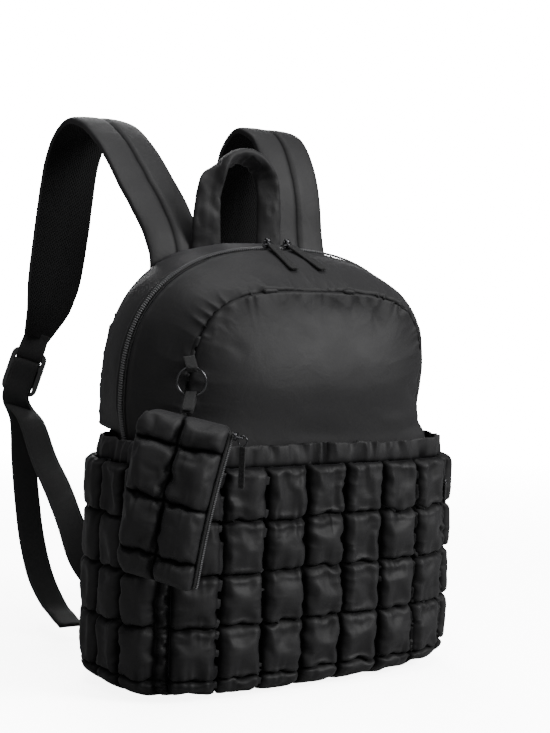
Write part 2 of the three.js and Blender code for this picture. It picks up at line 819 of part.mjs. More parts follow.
function strapEnd(side, centre, upward, across, webRows, tailRows, padEnd) {
  const up = upward.clone().normalize();
  const out = across.clone().cross(up).normalize();
  const wideWay = up.clone().cross(out).normalize();
  const place = (h, n) => centre.clone().addScaledVector(up, h).addScaledVector(out, n);
  const row = (p, thick = webThickness) => [p.x, p.y, p.z, webWidth, thick];
  const geometry = buckleGeometry();
  geometry.applyMatrix4(new THREE.Matrix4().makeBasis(wideWay, up, out).setPosition(centre));
  addGeometry('buckle_' + side, geometry, black);
  const loop = [
    row(padEnd.clone().addScaledVector(out, -1.1)),
    row(place(barHeights.top + 4, -loopReach)),
    ...barTurn(barHeights.top, true).map(([h, n]) => row(place(h, n))),
    row(place(barHeights.top + 4, loopReach)),
    row(padEnd.clone().addScaledVector(out, 1.1)),
  ];
  const level = () => wideWay;
  addMesh('pad_loop_' + side, tubeSolid(sweepRings(loop, webSection, level, 2)), black);
  const below = -buckleHeight / 2 - 4;
  const rows = [
    ...[...webRows].reverse(),
    row(place(below, -loopReach - 1)),
    row(place(-8, -loopReach)),
    ...barTurn(barHeights.middle, false).map(([h, n]) => row(place(h, n))),
    row(place(-8, loopReach)),
    row(place(below, loopReach + 1)),
    ...tailRows,
  ];
  const bagWay = vec(-Math.sign(centre.x) * 0.6, 0, 0.79);
  const first = webRows.length / rows.length;
  const acrossAt = (t) => mixVec(bagWay, wideWay, smooth(first * 0.35, first * 0.9, t));
  addMesh('webbing_' + side, tubeSolid(sweepRings(rows, webSection, acrossAt, 2)), black);
}

function addGeometry(name, geometry, colour) {
  const plain = geometry.clone();
  plain.deleteAttribute('uv');
  plain.deleteAttribute('normal');
  const merged = mergeVertices(plain, 1e-3);
  const position = merged.getAttribute('position');
  const solid = startSolid();
  for (let k = 0; k < position.count; k += 1) {
    addPoint(solid, vec().fromBufferAttribute(position, k));
  }
  const index = merged.getIndex().array;
  for (let k = 0; k < index.length; k += 3) {
    const face = [index[k], index[k + 1], index[k + 2]];
    if (new Set(face).size === 3) {
      solid.faces.push(face);
    }
  }
  addMesh(name, solid, colour);
}

const web = (x, y, z, thick = webThickness) => [x, y, z, webWidth, thick];
const leftBuckle = vec(-124, 266, 250);
strapEnd('left', leftBuckle, vec(0.32, -0.02, 0.95), vec(0.82, -0.57, 0), [
  web(-129, 236, 203),
  web(-134, 196, 172),
  web(-140, 150, 146),
  web(-147, 110, 122),
  web(-144, 89, 92),
  web(-128, 79.5, 70),
  web(-100, 73.6, 50),
], [
  web(-127, 262, 203),
  web(-126, 257, 163),
  web(-125, 249, 123),
  web(-124, 238, 86),
  web(-123, 218, 52),
  web(-122, 190, 30, webThickness),
  web(-121, 172, 22, webThickness * 2.4),
  web(-120, 156, 16, webThickness * 2.4),
], vec(-113.2, 264.2, 283));
const rightBuckle = vec(97, 193, 244);
strapEnd('right', rightBuckle, vec(-0.28, 0, 0.96), vec(0.9, 0.43, 0), [
  web(108, 180, 200),
  web(122, 160, 172),
  web(135, 135, 146),
  web(145, 110, 122),
  web(144, 89, 92),
  web(128, 79.5, 70),
  web(100, 73.6, 50),
], [
  web(101, 196, 200),
  web(104, 196, 162),
  web(106, 192, 124),
  web(107, 186, 88),
  web(108, 178, 58),
  web(108, 172, 44, webThickness * 2.4),
  web(108, 167, 32, webThickness * 2.4),
], vec(87.2, 192, 275));

// Grab handle: a folded loop standing on the top seam between the straps.
const handleWidth = 25;
const handleRows = [
  [-35, 73, 382.6, handleWidth, 7],
  [-36, 73, 405, handleWidth, 7.5],
  [-34, 74, 428, handleWidth, 8],
  [-26, 75, 449, handleWidth, 8.5],
  [-9, 76, 463, handleWidth, 9],
  [9, 77, 466, handleWidth, 9],
  [24, 76, 457, handleWidth, 8.5],
  [32, 75, 438, handleWidth, 8],
  [34, 74, 410, handleWidth, 7.5],
  [33, 73, 382.6, handleWidth, 7],
];
const handleTwist = (t) => {
  const share = smooth(0.2, 0.42, t) * smooth(0.2, 0.42, 1 - t);
  return vec(1, 0.2, 0).lerp(vec(0.1, 1, 0), share);
};
addMesh('grab_handle', tubeSolid(sweepRings(handleRows, handleSection, handleTwist, 2)), satin);

// Small hard parts are joined from plain shapes.
function asManifold(geometry) {
  const plain = geometry.clone();
  plain.deleteAttribute('uv');
  plain.deleteAttribute('normal');
  const merged = mergeVertices(plain, 1e-4);
  return new wasm.Manifold(new wasm.Mesh({
    numProp: 3,
    vertProperties: new Float32Array(merged.getAttribute('position').array),
    triVerts: new Uint32Array(merged.getIndex().array),
  }));
}

function addJoined(name, geometries, colour) {
  const whole = wasm.Manifold.union(geometries.map(asManifold));
  const made = whole.getMesh();
  const solid = startSolid();
  for (let k = 0; k < made.numVert; k += 1) {
    addPoint(solid, vec(...made.vertProperties.subarray(k * made.numProp, k * made.numProp + 3)));
  }
  for (let k = 0; k < made.triVerts.length; k += 3) {
    solid.faces.push([...made.triVerts.subarray(k, k + 3)]);
  }
  addMesh(name, solid, colour);
}

function frameMatrix(xWay, zWay, origin) {
  const z = zWay.clone().normalize();
  const y = z.clone().cross(xWay).normalize();
  const x = y.clone().cross(z);
  return new THREE.Matrix4().makeBasis(x, y, z).setPosition(origin);
}

// A rounded plate in the XY plane, from one end of its length to the other.
function plate(width, from, to, thickness, endRound) {
  const shape = new THREE.Shape();
  const half = width / 2;
  const r = Math.min(endRound, half - 0.01);
  shape.moveTo(-half, from);
  shape.lineTo(half, from);
  shape.lineTo(half, to - r);
  shape.quadraticCurveTo(half, to, half - r, to);
  shape.lineTo(-half + r, to);
  shape.quadraticCurveTo(-half, to, -half, to - r);
  shape.closePath();
  const options = { depth: thickness, bevelEnabled: false, curveSegments: 4 };
  return new THREE.ExtrudeGeometry(shape, options).translate(0, 0, -thickness / 2);
}

function barAlongX(radius, length, sides = 8) {
  return new THREE.CylinderGeometry(radius, radius, length, sides).rotateZ(Math.PI / 2);
}

// Slider: a block on the coil with a wire bail over it. The bail's bar lies along the zip.
const sliderLength = 11;
const sliderWidth = 8;
const sliderHeight = 3.2;
const bailHeight = sliderHeight + 3;
const bailHalf = 3.6;
const bailWire = 0.8;

function sliderShapes() {
  const block = plate(sliderWidth, -sliderLength / 2, sliderLength / 2, sliderHeight, 2.5);
  block.rotateZ(Math.PI / 2).translate(0, 0, sliderHeight / 2);
  const legs = [-1, 1].map((side) => {
    const leg = new THREE.CylinderGeometry(bailWire, bailWire, bailHeight, 8);
    return leg.rotateX(Math.PI / 2).translate(side * bailHalf, 0, bailHeight / 2);
  });
  const bar = barAlongX(bailWire, bailHalf * 2 + bailWire * 2).translate(0, 0, bailHeight);
  return [block, bar, ...legs];
}

// Pull: a knuckle round the bail's bar, a short link and a longer tape.
const pullWidth = 9.5;
const pullLength = 50;
const pullThickness = 2.2;
const knuckleOuter = 2.3;
const knuckleInner = bailWire + 0.45;
const knuckleLength = bailHalf * 2 - bailWire * 2 - 0.9;

function pullShapes(slant) {
  const ring = new THREE.Shape();
  ring.absarc(0, 0, knuckleOuter, 0, Math.PI * 2);
  const eye = new THREE.Path();
  eye.absarc(0, 0, knuckleInner, 0, Math.PI * 2);
  ring.holes.push(eye);
  const knuckle = new THREE.ExtrudeGeometry(ring, {
    depth: knuckleLength,
    bevelEnabled: false,
    curveSegments: 7,
  });
  knuckle.translate(0, 0, -knuckleLength / 2).rotateY(Math.PI / 2);
  const link = plate(knuckleLength, knuckleInner + 0.3, 9, 1.2, 0.5);
  const tape = plate(pullWidth, 0, pullLength - 7, pullThickness, 3);
  tape.rotateZ(slant).translate(0, 7, 0);
  return [knuckle, link, tape];
}

// The two main sliders stand near the top of the arch, their pulls lying down the front slope.
const coilTop = zipArchTop + coilRise + 0.8;
const zipMiddleY = zipFrontY + zipTapeWidth / 2;
const pullTable = [
  { name: '1', x: -16, slope: 29, slant: 0 },
  { name: '2', x: 5, slope: 29, slant: 0.26 },
];
for (const { name, x, slope, slant } of pullTable) {
  const base = vec(x, zipMiddleY, coilTop);
  const sliderFrame = frameMatrix(vec(1, 0, 0), vec(0, 0, 1), base);
  addJoined('main_slider_' + name, sliderShapes().map((g) => g.applyMatrix4(sliderFrame)), metal);
  const tilt = (slope * Math.PI) / 180;
  const along = vec(0, -Math.cos(tilt), -Math.sin(tilt));
  const face = vec(-1, 0, 0).cross(along).normalize();
  const pivot = base.clone().add(vec(0, 0, bailHeight));
  const pullFrame = new THREE.Matrix4().makeBasis(vec(-1, 0, 0), along, face).setPosition(pivot);
  addJoined('main_pull_' + name, pullShapes(slant).map((g) => g.applyMatrix4(pullFrame)), black);
}

// Ring at the left front corner, held by a tab from the body seam; the pouch hangs under it.
const ringCentre = vec(-128.5, -60.5, 266.5);
const towardFront = vec(-0.57, -0.82, 0).normalize();
const acrossFront = vec(0.82, -0.57, 0).normalize();
const ringFrame = new THREE.Matrix4().makeBasis(acrossFront, vec(0, 0, 1), towardFront);
const ring = new THREE.TorusGeometry(ringRadius, ringWire, 6, 20);
addGeometry('ring', ring.applyMatrix4(ringFrame.setPosition(ringCentre)), metal);

const tabWidth = 9;
const tabThickness = 1.2;
const tabTurn = ringWire + 2.1;

function tabLoop(name, wire, away, ends) {
  const rows = [];
  const sideWay = acrossFront.clone().cross(away).normalize();
  const add = (p) => rows.push([p.x, p.y, p.z, tabWidth, tabThickness]);
  add(ends[0]);
  for (let k = 0; k <= 6; k += 1) {
    const angle = (Math.PI * k) / 6;
    add(wire.clone()
      .addScaledVector(sideWay, tabTurn * Math.cos(angle))
      .addScaledVector(away, tabTurn * Math.sin(angle)));
  }
  add(ends[1]);
  addMesh(name, tubeSolid(sweepRings(rows, webSection, () => acrossFront, 1)), black);
}

const upWay = vec(0, 0, 1);
const seamSpot = vec(-126.7, -52.2, 287);
tabLoop('ring_tab', ringCentre.clone().addScaledVector(upWay, ringRadius), upWay.clone().negate(), [
  seamSpot.clone().addScaledVector(towardFront, -0.6),
  seamSpot.clone().addScaledVector(towardFront, 1.4),
]);

// Pouch: two quilted faces round a hollow, bent over the corner of the quilting.
const pouchFacing = vec(-0.788, -0.616, 0).normalize();
const pouchCorners = {
  topLeft: vec(-167, -48.5, 247),
  topRight: vec(-119, -109.5, 234),
  bottomRight: vec(-148, -105, 102),
  bottomLeft: vec(-188, -54, 116),
};

function pouchPoint(u, v, out) {
  const top = mixVec(pouchCorners.topLeft, pouchCorners.topRight, u);
  const bottom = mixVec(pouchCorners.bottomLeft, pouchCorners.bottomRight, u);
  const bow = 8 * Math.sin(Math.PI * v);
  return mixVec(top, bottom, v).addScaledVector(pouchFacing, bow + out);
}

const pouchRows = [0.5, 1, 1, 0.5];

function pouchFace(name, side, height) {
  const rowCuts = 4;
  const columnCuts = 10;
  const vList = [];
  let at = 0;
  pouchRows.forEach((share, r) => {
    const count = share === 1 ? rowCuts : 2;
    for (let k = 0; k < count; k += 1) {
      const half = r === 0 ? 0.5 : 0;
      vList.push({ v: (at + (share * k) / count) / 3, up: half + (share * k) / count });
    }
    at += share;
  });
  vList.push({ v: 1, up: 0.5 });
  const outer = [];
  const inner = [];
  vList.forEach(({ v, up }, r) => {
    const outRow = [];
    const inRow = [];
    for (let c = 0; c <= columnCuts; c += 1) {
      const u = c / columnCuts;
      const edge = Math.min(r, vList.length - 1 - r) === 0 ? 0.35 : 1;
      const tile = hump((u * 2) % 1 || (c === columnCuts ? 1 : 0)) * mix(0.45, 1, hump(up));
      const rim = Math.sin(Math.PI * u) ** 0.4;
      const lift = (1.6 + 2 * rim + height * tile) * edge + 1;
      outRow.push(pouchPoint(u, v, side * (4 + lift)));
      inRow.push(pouchPoint(u, v, side * (0.3 + 3 * rim * edge)));
    }
    outer.push(outRow);
    inner.push(inRow);
  });
  const few = (row) => row.filter((p, c) => c % 2 === 0);
  const inGrid = inner.filter((row, r) => r % 2 === 0 || r === inner.length - 1).map(few);
  addMesh(name, clothSolid(outer, inGrid), satin);
}

pouchFace('pouch_front', 1, pouchPuff);
pouchFace('pouch_back', -1, pouchPuff * 0.45);

const pouchAcross = pouchCorners.topRight.clone().sub(pouchCorners.topLeft).normalize();
const pouchZipHalf = 4;
const pouchZipProfile = [
  [-pouchZipHalf, 0], [pouchZipHalf, 0], [pouchZipHalf, 1.5], [1.4, 1.5], [1.1, 2.7],
  [-1.1, 2.7], [-1.4, 1.5], [-pouchZipHalf, 1.5],
];
const pouchZipRings = [];
for (let k = 0; k <= 12; k += 1) {
  const edge = pouchPoint(1, mix(0.02, 0.99, k / 12), 0);
  pouchZipRings.push(pouchZipProfile.map(([n, d]) => edge.clone()
    .addScaledVector(pouchFacing, n)
    .addScaledVector(pouchAcross, d + 0.8)));
}
addMesh('pouch_zip', tubeSolid(pouchZipRings), black);

// Pouch slider and its pull: a wire eye with a tape hanging straight down.
const pouchSliderAt = pouchPoint(1, 0.045, 0).addScaledVector(pouchAcross, 3.9);
const pouchSliderFrame = frameMatrix(pouchFacing, pouchAcross, pouchSliderAt);
const pouchBail = 7.2;
const pouchBlock = new THREE.BoxGeometry(7, 8, 2.4).translate(0, 0, 1.2);
const pouchBar = barAlongX(bailWire, 6.6).translate(0, 0, pouchBail);
const pouchLegs = [-1, 1].map((side) => new THREE.CylinderGeometry(bailWire, bailWire, pouchBail, 8)
  .rotateX(Math.PI / 2)
  .translate(side * 2.5, 0, pouchBail / 2));
const pouchSliderShapes = [pouchBlock, pouchBar, ...pouchLegs];
addJoined('pouch_slider', pouchSliderShapes.map((g) => g.applyMatrix4(pouchSliderFrame)), metal);

const pouchPivot = pouchSliderAt.clone().addScaledVector(pouchAcross, pouchBail);
const eyeRadius = 3.6;
const eyeWire = 0.7;
const eye = new THREE.TorusGeometry(eyeRadius, eyeWire, 6, 14).scale(1, 1.2, 1);
eye.translate(0, -(eyeRadius * 1.2 - eyeWire - bailWire - 0.35), 0);
const eyeDrop = eyeRadius * 2.4 - eyeWire - bailWire - 0.35;
const pouchTape = plate(5, 0, 34, 1.8, 1.5).rotateZ(Math.PI).translate(0, -eyeDrop + 0.4, 0);
const pullAcross = vec(pouchAcross.x, pouchAcross.y, 0).normalize();
const pouchPullFrame = new THREE.Matrix4()
  .makeBasis(pullAcross, upWay, pullAcross.clone().cross(upWay))
  .setPosition(pouchPivot);
addJoined('pouch_pull', [eye, pouchTape].map((g) => g.applyMatrix4(pouchPullFrame)), black);

const pouchTop = pouchPoint(0.5, 0, 0).add(vec(0, 0, 2.6));
const ringFoot = ringCentre.clone().addScaledVector(upWay, -ringRadius);
const tabWay = ringFoot.clone().sub(pouchTop);
tabWay.addScaledVector(acrossFront, -tabWay.dot(acrossFront)).normalize();
const tabSide = acrossFront.clone().cross(tabWay).normalize();
tabLoop('pouch_tab', ringFoot, tabWay, [
  pouchTop.clone().addScaledVector(tabSide, 1.2).addScaledVector(tabWay, 1.6),
  pouchTop.clone().addScaledVector(tabSide, -1.2).addScaledVector(tabWay, 1.6),
]);

// Small pull of the side opening, lying on the right-hand gathered seam.
const sidePullArc = (frontArc + sideArc) / 2;
const sidePullFace = planNormal(sidePullArc);
const sidePullSpot = planAt(sidePullArc, 0);
const sideOut = vec(sidePullFace.x, sidePullFace.y, 0);
const sidePullFrame = new THREE.Matrix4()
  .makeBasis(upWay.clone().cross(sideOut), upWay, sideOut)
  .setPosition(vec(sidePullSpot.x, sidePullSpot.y, 0).addScaledVector(sideOut, puff * gatherScale + 0.8));
const sideEye = new THREE.TorusGeometry(2.4, 0.7, 5, 10).translate(0, 170.5, 0);
const sideTape = plate(5, 0, 18, 1.4, 1.5).rotateZ(Math.PI).translate(0, 168.4, 0);
addJoined('side_pull', [sideEye, sideTape].map((g) => g.applyMatrix4(sidePullFrame)), black);

export default group;
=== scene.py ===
import math

import bmesh
import bpy
import numpy as np
from mathutils import Matrix, Vector


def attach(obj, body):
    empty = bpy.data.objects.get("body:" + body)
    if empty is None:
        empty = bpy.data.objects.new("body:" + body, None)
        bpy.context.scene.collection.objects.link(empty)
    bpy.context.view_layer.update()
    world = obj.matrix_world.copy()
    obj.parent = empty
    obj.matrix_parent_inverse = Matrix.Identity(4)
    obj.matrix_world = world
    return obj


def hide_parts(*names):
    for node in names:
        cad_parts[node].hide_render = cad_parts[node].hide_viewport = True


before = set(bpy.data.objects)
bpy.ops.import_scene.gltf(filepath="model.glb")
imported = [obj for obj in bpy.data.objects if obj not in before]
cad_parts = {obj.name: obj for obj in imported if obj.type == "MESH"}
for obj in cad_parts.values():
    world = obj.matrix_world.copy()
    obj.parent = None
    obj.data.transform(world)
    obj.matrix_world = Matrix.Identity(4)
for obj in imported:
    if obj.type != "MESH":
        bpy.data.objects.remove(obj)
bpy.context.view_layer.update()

bodyName = "bag"


def addObject(name, data):
    thing = bpy.data.objects.new(name, data)
    bpy.context.scene.collection.objects.link(thing)
    return thing



# camera: 35 degrees to the left of the front, a little above level
cameraSetup = {
    "place": (-0.773892, -1.106904, 0.357858),
    "yaw": 0.608,
    "pitch": 0.062,
    "roll": 0.038,
    "lens": 73.67,
    "sensor": 36.0,
}


def placeCamera(setup):
    yaw, pitch, roll = setup["yaw"], setup["pitch"], setup["roll"]
    ahead = Vector((math.sin(yaw) * math.cos(pitch), math.cos(yaw) * math.cos(pitch), -math.sin(pitch)))
    level = Vector((math.cos(yaw), -math.sin(yaw), 0))
    up = level.cross(ahead)
    right = math.cos(roll) * level + math.sin(roll) * up
    top = -math.sin(roll) * level + math.cos(roll) * up
    data = bpy.data.cameras.new("photoCamera")
    data.lens = setup["lens"]
    data.sensor_fit = "VERTICAL"
    data.sensor_height = setup["sensor"]
    data.clip_start = 0.05
    camera = addObject("photoCamera", data)
    turn = Matrix((right, top, -ahead)).transposed().to_4x4()
    camera.matrix_world = Matrix.Translation(setup["place"]) @ turn
    bpy.context.scene.camera = camera


placeCamera(cameraSetup)
print("camera placed")

# floor, world and soft lights
studio = {
    "floor": (0.32, 0.32, 0.32),
    "world": (0.95, 0.955, 0.96),
    "worldStrength": 0.14,
    "seenStrength": 22.0,
    "floorReach": 6.0,
    "floorRough": 0.7,
    "floorFade": (0.5, 3.0),  # metres from the bag
    "floorGlow": (6.0, 18.0),
    "floorGain": 4.0,
    "lamps": [
        # name, place, aim, size, power
        ("keyLamp", (1.5, -2.0, 1.7), (0, 0, 0.2), 1.4, 84),
        ("fillLamp", (-2.0, -1.4, 1.3), (0, 0, 0.2), 1.4, 6),
        ("topLamp", (0.0, 0.0, 2.4), (0, 0, 0.3), 1.8, 30),
        ("backLamp", (1.0, 2.3, 1.3), (0, 0, 0.2), 1.6, 34),
    ],
}


def mixForCamera(tree, lit, seen, target):
    # one shader lights the scene, the other is what the camera sees
    path = tree.nodes.new("ShaderNodeLightPath")
    both = tree.nodes.new("ShaderNodeMixShader")
    tree.links.new(path.outputs["Is Camera Ray"], both.inputs[0])
    tree.links.new(lit.outputs[0], both.inputs[1])
    tree.links.new(seen.outputs[0], both.inputs[2])
    tree.links.new(both.outputs[0], target)


def buildWorld(setup):
    world = bpy.data.worlds.new("softWorld")
    bpy.context.scene.world = world
    world.use_nodes = True
    tree = world.node_tree
    ground = tree.nodes["Background"]
    ground.inputs["Color"].default_value = (*setup["world"], 1)
    ground.inputs["Strength"].default_value = setup["worldStrength"]
    # the camera sees a white backdrop, which lights nothing
    seen = tree.nodes.new("ShaderNodeBackground")
    seen.inputs["Strength"].default_value = setup["seenStrength"]
    mixForCamera(tree, ground, seen, tree.nodes["World Output"].inputs["Surface"])


def buildLamps(setup):
    for name, place, aim, size, power in setup["lamps"]:
        data = bpy.data.lights.new(name, "AREA")
        data.shape = "DISK"
        data.size = size
        data.energy = power
        lamp = addObject(name, data)
        lamp.location = place
        lamp.rotation_euler = (Vector(aim) - Vector(place)).to_track_quat("-Z", "Y").to_euler()


def buildFloor(setup):
    mesh = bpy.data.meshes.new("paleFloor")
    reach = setup["floorReach"]
    corners = [(-reach, -reach, 0), (reach, -reach, 0), (reach, reach, 0), (-reach, reach, 0)]
    mesh.from_pydata(corners, [], [(0, 1, 2, 3)])
    floor = addObject("paleFloor", mesh)
    paint = bpy.data.materials.new("paleFloor")
    paint.use_nodes = True
    tree = paint.node_tree
    shader = tree.nodes["Principled BSDF"]
    shader.inputs["Base Color"].default_value = (*setup["floor"], 1)
    shader.inputs["Roughness"].default_value = setup["floorRough"]
    # seen by the camera it is almost white and keeps a soft shadow
    pale = tree.nodes.new("ShaderNodeBsdfDiffuse")
    pale.inputs["Color"].default_value = (*[setup["floorGain"]] * 3, 1)
    glow = tree.nodes.new("ShaderNodeEmission")
    spot = tree.nodes.new("ShaderNodeTexCoord")
    far = tree.nodes.new("ShaderNodeVectorMath")
    far.operation = "LENGTH"
    tree.links.new(spot.outputs["Object"], far.inputs[0])
    fade = tree.nodes.new("ShaderNodeMapRange")
    fade.interpolation_type = "SMOOTHSTEP"
    fade.inputs["From Min"].default_value, fade.inputs["From Max"].default_value = setup["floorFade"]
    fade.inputs["To Min"].default_value, fade.inputs["To Max"].default_value = setup["floorGlow"]
    tree.links.new(far.outputs["Value"], fade.inputs["Value"])
    tree.links.new(fade.outputs["Result"], glow.inputs["Strength"])
    summed = tree.nodes.new("ShaderNodeAddShader")
    tree.links.new(pale.outputs[0], summed.inputs[0])
    tree.links.new(glow.outputs[0], summed.inputs[1])
    mixForCamera(tree, shader, summed, tree.nodes["Material Output"].inputs["Surface"])
    mesh.materials.append(paint)


buildWorld(studio)
buildLamps(studio)
buildFloor(studio)
print("studio built")


# shader groups shared by the cloths and the trims
def startGroup(name, inputs, outputs):
    # an input without a number is a vector
    group = bpy.data.node_groups.new(name, "ShaderNodeTree")
    for label, value in inputs.items():
        kind = "NodeSocketVector" if value is None else "NodeSocketFloat"
        socket = group.interface.new_socket(name=label, in_out="INPUT", socket_type=kind)
        if value is not None:
            socket.default_value = value
    for label in outputs:
        group.interface.new_socket(name=label, in_out="OUTPUT", socket_type="NodeSocketFloat")
    return group, group.nodes.new("NodeGroupInput").outputs, group.nodes.new("NodeGroupOutput")


def connect(tree, node, sources):
    for label, source in sources.items():
        tree.links.new(source, node.inputs[label])


def addMath(tree, kind, first, second=None, third=None):
    node = tree.nodes.new("ShaderNodeMath")
    node.operation = kind
    for slotNumber, value in enumerate((first, second, third)):
        if value is None:
            continue
        if isinstance(value, (int, float)):
            node.inputs[slotNumber].default_value = value
        else:
            tree.links.new(value, node.inputs[slotNumber])
    return node.outputs[0]


def splitVector(tree, source):
    node = tree.nodes.new("ShaderNodeSeparateXYZ")
    tree.links.new(source, node.inputs[0])
    return node.outputs


def addNoise(tree, source, scale, detail=3.0, distortion=0.0, rough=0.55):
    node = tree.nodes.new("ShaderNodeTexNoise")
    tree.links.new(source, node.inputs["Vector"])
    if isinstance(scale, (int, float)):
        node.inputs["Scale"].default_value = scale
    else:
        tree.links.new(scale, node.inputs["Scale"])
    node.inputs["Detail"].default_value = detail
    node.inputs["Distortion"].default_value = distortion
    node.inputs["Roughness"].default_value = rough
    return node.outputs["Fac"]


def addWaves(tree, axis, count):
    return addMath(tree, "SINE", addMath(tree, "MULTIPLY", axis, count))


def makeWeaveGroup():
    # plain weave over the cloth's own flat coordinates, in metres
    group, into, out = startGroup("clothWeave", {"Flat": None, "Threads": 2600.0}, ["Height"])
    axes = splitVector(group, into["Flat"])
    warp = addWaves(group, axes[0], into["Threads"])
    weft = addWaves(group, axes[1], into["Threads"])
    crossed = addMath(group, "MULTIPLY_ADD", addMath(group, "MULTIPLY", warp, weft), 0.5, 0.5)
    connect(group, out, {"Height": crossed})
    return group


def makeCrinkleGroup():
    # soft creases of thin nylon: long ones and short ones
    group, into, out = startGroup("nylonCrinkle", {"Place": None, "Scale": 60.0}, ["Height", "Shade"])
    longOnes = addNoise(group, into["Place"], into["Scale"], 3.0, 0.6)
    fineScale = addMath(group, "MULTIPLY", into["Scale"], 3.7)
    shortOnes = addNoise(group, into["Place"], fineScale, 2.0, 0.3)
    ridges = addMath(group, "ABSOLUTE", addMath(group, "SUBTRACT", longOnes, 0.5))
    height = addMath(group, "MULTIPLY_ADD", shortOnes, 0.25, addMath(group, "MULTIPLY", ridges, 1.6))
    connect(group, out, {"Height": height, "Shade": longOnes})
    return group


def makeStitchGroup():
    # a row of thread dashes along the first flat axis, at one offset of the second
    group, into, out = startGroup("stitchRow", {"Flat": None, "Offset": 0.0, "Step": 0.003}, ["Mask"])
    axes = splitVector(group, into["Flat"])
    away = addMath(group, "ABSOLUTE", addMath(group, "SUBTRACT", axes[1], into["Offset"]))
    close = addMath(group, "LESS_THAN", away, 0.00032)
    along = addMath(group, "FRACT", addMath(group, "DIVIDE", axes[0], into["Step"]))
    dash = addMath(group, "LESS_THAN", along, 0.72)
    connect(group, out, {"Mask": addMath(group, "MULTIPLY", close, dash)})
    return group


def makeRibGroup():
    # woven tape: ribs along the length, picks across it
    group, into, out = startGroup("tapeRibs", {"Flat": None, "Ribs": 3600.0, "Picks": 5200.0}, ["Height"])
    axes = splitVector(group, into["Flat"])
    ribs = addMath(group, "ABSOLUTE", addWaves(group, axes[1], into["Ribs"]))
    picks = addWaves(group, axes[0], into["Picks"])
    height = addMath(group, "MULTIPLY_ADD", picks, 0.22, addMath(group, "MULTIPLY", ribs, 0.78))
    connect(group, out, {"Height": height})
    return group


def makeSpacerGroup():
    # knitted spacer mesh: open cells on slanted rows
    group, into, out = startGroup("spacerCells", {"Flat": None, "Cells": 330.0}, ["Hole", "Height"])
    turn = group.nodes.new("ShaderNodeMapping")
    turn.inputs["Rotation"].default_value = (0, 0, math.radians(52))
    turn.inputs["Scale"].default_value = (1.0, 1.35, 1.0)
    connect(group, turn, {"Vector": into["Flat"]})
    cells = group.nodes.new("ShaderNodeTexVoronoi")
    cells.inputs["Randomness"].default_value = 0.12
    connect(group, cells, {"Vector": turn.outputs["Vector"], "Scale": into["Cells"]})
    wall = addMath(group, "MULTIPLY", addMath(group, "SUBTRACT", cells.outputs["Distance"], 0.2), 4.0)
    height = group.nodes.new("ShaderNodeClamp")
    connect(group, height, {"Value": wall})
    hole = addMath(group, "SUBTRACT", 1.0, height.outputs[0])
    connect(group, out, {"Hole": hole, "Height": height.outputs[0]})
    return group


def makeWearGroup():
    # slow patches of handling and dust that change colour and gloss a little
    group, into, out = startGroup("handlingWear", {"Place": None}, ["Patch", "Speck"])
    patch = addNoise(group, into["Place"], 11.0, 4.0, 0.8)
    speck = addNoise(group, into["Place"], 420.0, 2.0)
    connect(group, out, {"Patch": patch, "Speck": speck})
    return group


groups = {
    "weave": makeWeaveGroup(),
    "crinkle": makeCrinkleGroup(),
    "stitch": makeStitchGroup(),
    "ribs": makeRibGroup(),
    "spacer": makeSpacerGroup(),
    "wear": makeWearGroup(),
}


# materials
def startMaterial(name, settings):
    material = bpy.data.materials.new(name)
    material.use_nodes = True
    shader = material.node_tree.nodes["Principled BSDF"]
    for label, value in settings.items():
        shader.inputs[label].default_value = value
    return material, material.node_tree, shader


def addGroup(tree, key, links, **values):
    node = tree.nodes.new("ShaderNodeGroup")
    node.node_tree = groups[key]
    connect(tree, node, links)
    for label, value in values.items():
        node.inputs[label].default_value = value
    return node.outputs


def coordinates(tree):
    node = tree.nodes.new("ShaderNodeTexCoord")
    return node.outputs["Object"], node.outputs["UV"]


def blendColours(tree, mask, low, high):
    # a colour is three numbers, or another node's output
    blend = tree.nodes.new("ShaderNodeMix")
    blend.data_type = "RGBA"
    tree.links.new(mask, blend.inputs[0])
    for slotNumber, colour in ((6, low), (7, high)):
        if isinstance(colour, tuple):
            blend.inputs[slotNumber].default_value = (*colour, 1)
        else:
            tree.links.new(colour, blend.inputs[slotNumber])
    return blend.outputs[2]


def span(tree, mask, low, high):
    return addMath(tree, "MULTIPLY_ADD", mask, high - low, low)


def bump(tree, height, distance, before=None, strength=1.0):
    node = tree.nodes.new("ShaderNodeBump")
    node.inputs["Strength"].default_value = strength
    node.inputs["Distance"].default_value = distance
    tree.links.new(height, node.inputs["Height"])
    if before is not None:
        tree.links.new(before, node.inputs["Normal"])
    return node.outputs["Normal"]


threadHeight = 0.0004
satinLook = {
    "dark": (0.0100, 0.0098, 0.0105),
    "light": (0.0150, 0.0146, 0.0155),
    "roughLow": 0.54,
    "roughHigh": 0.66,
    "specular": 0.34,
    "threads": 7200.0,
    "crinkle": 34.0,
    "crinkleDepth": 0.0008,
    "weaveDepth": 0.00006,
    "thread": (0.03, 0.03, 0.032),
    "seamShadow": 0.06,
}


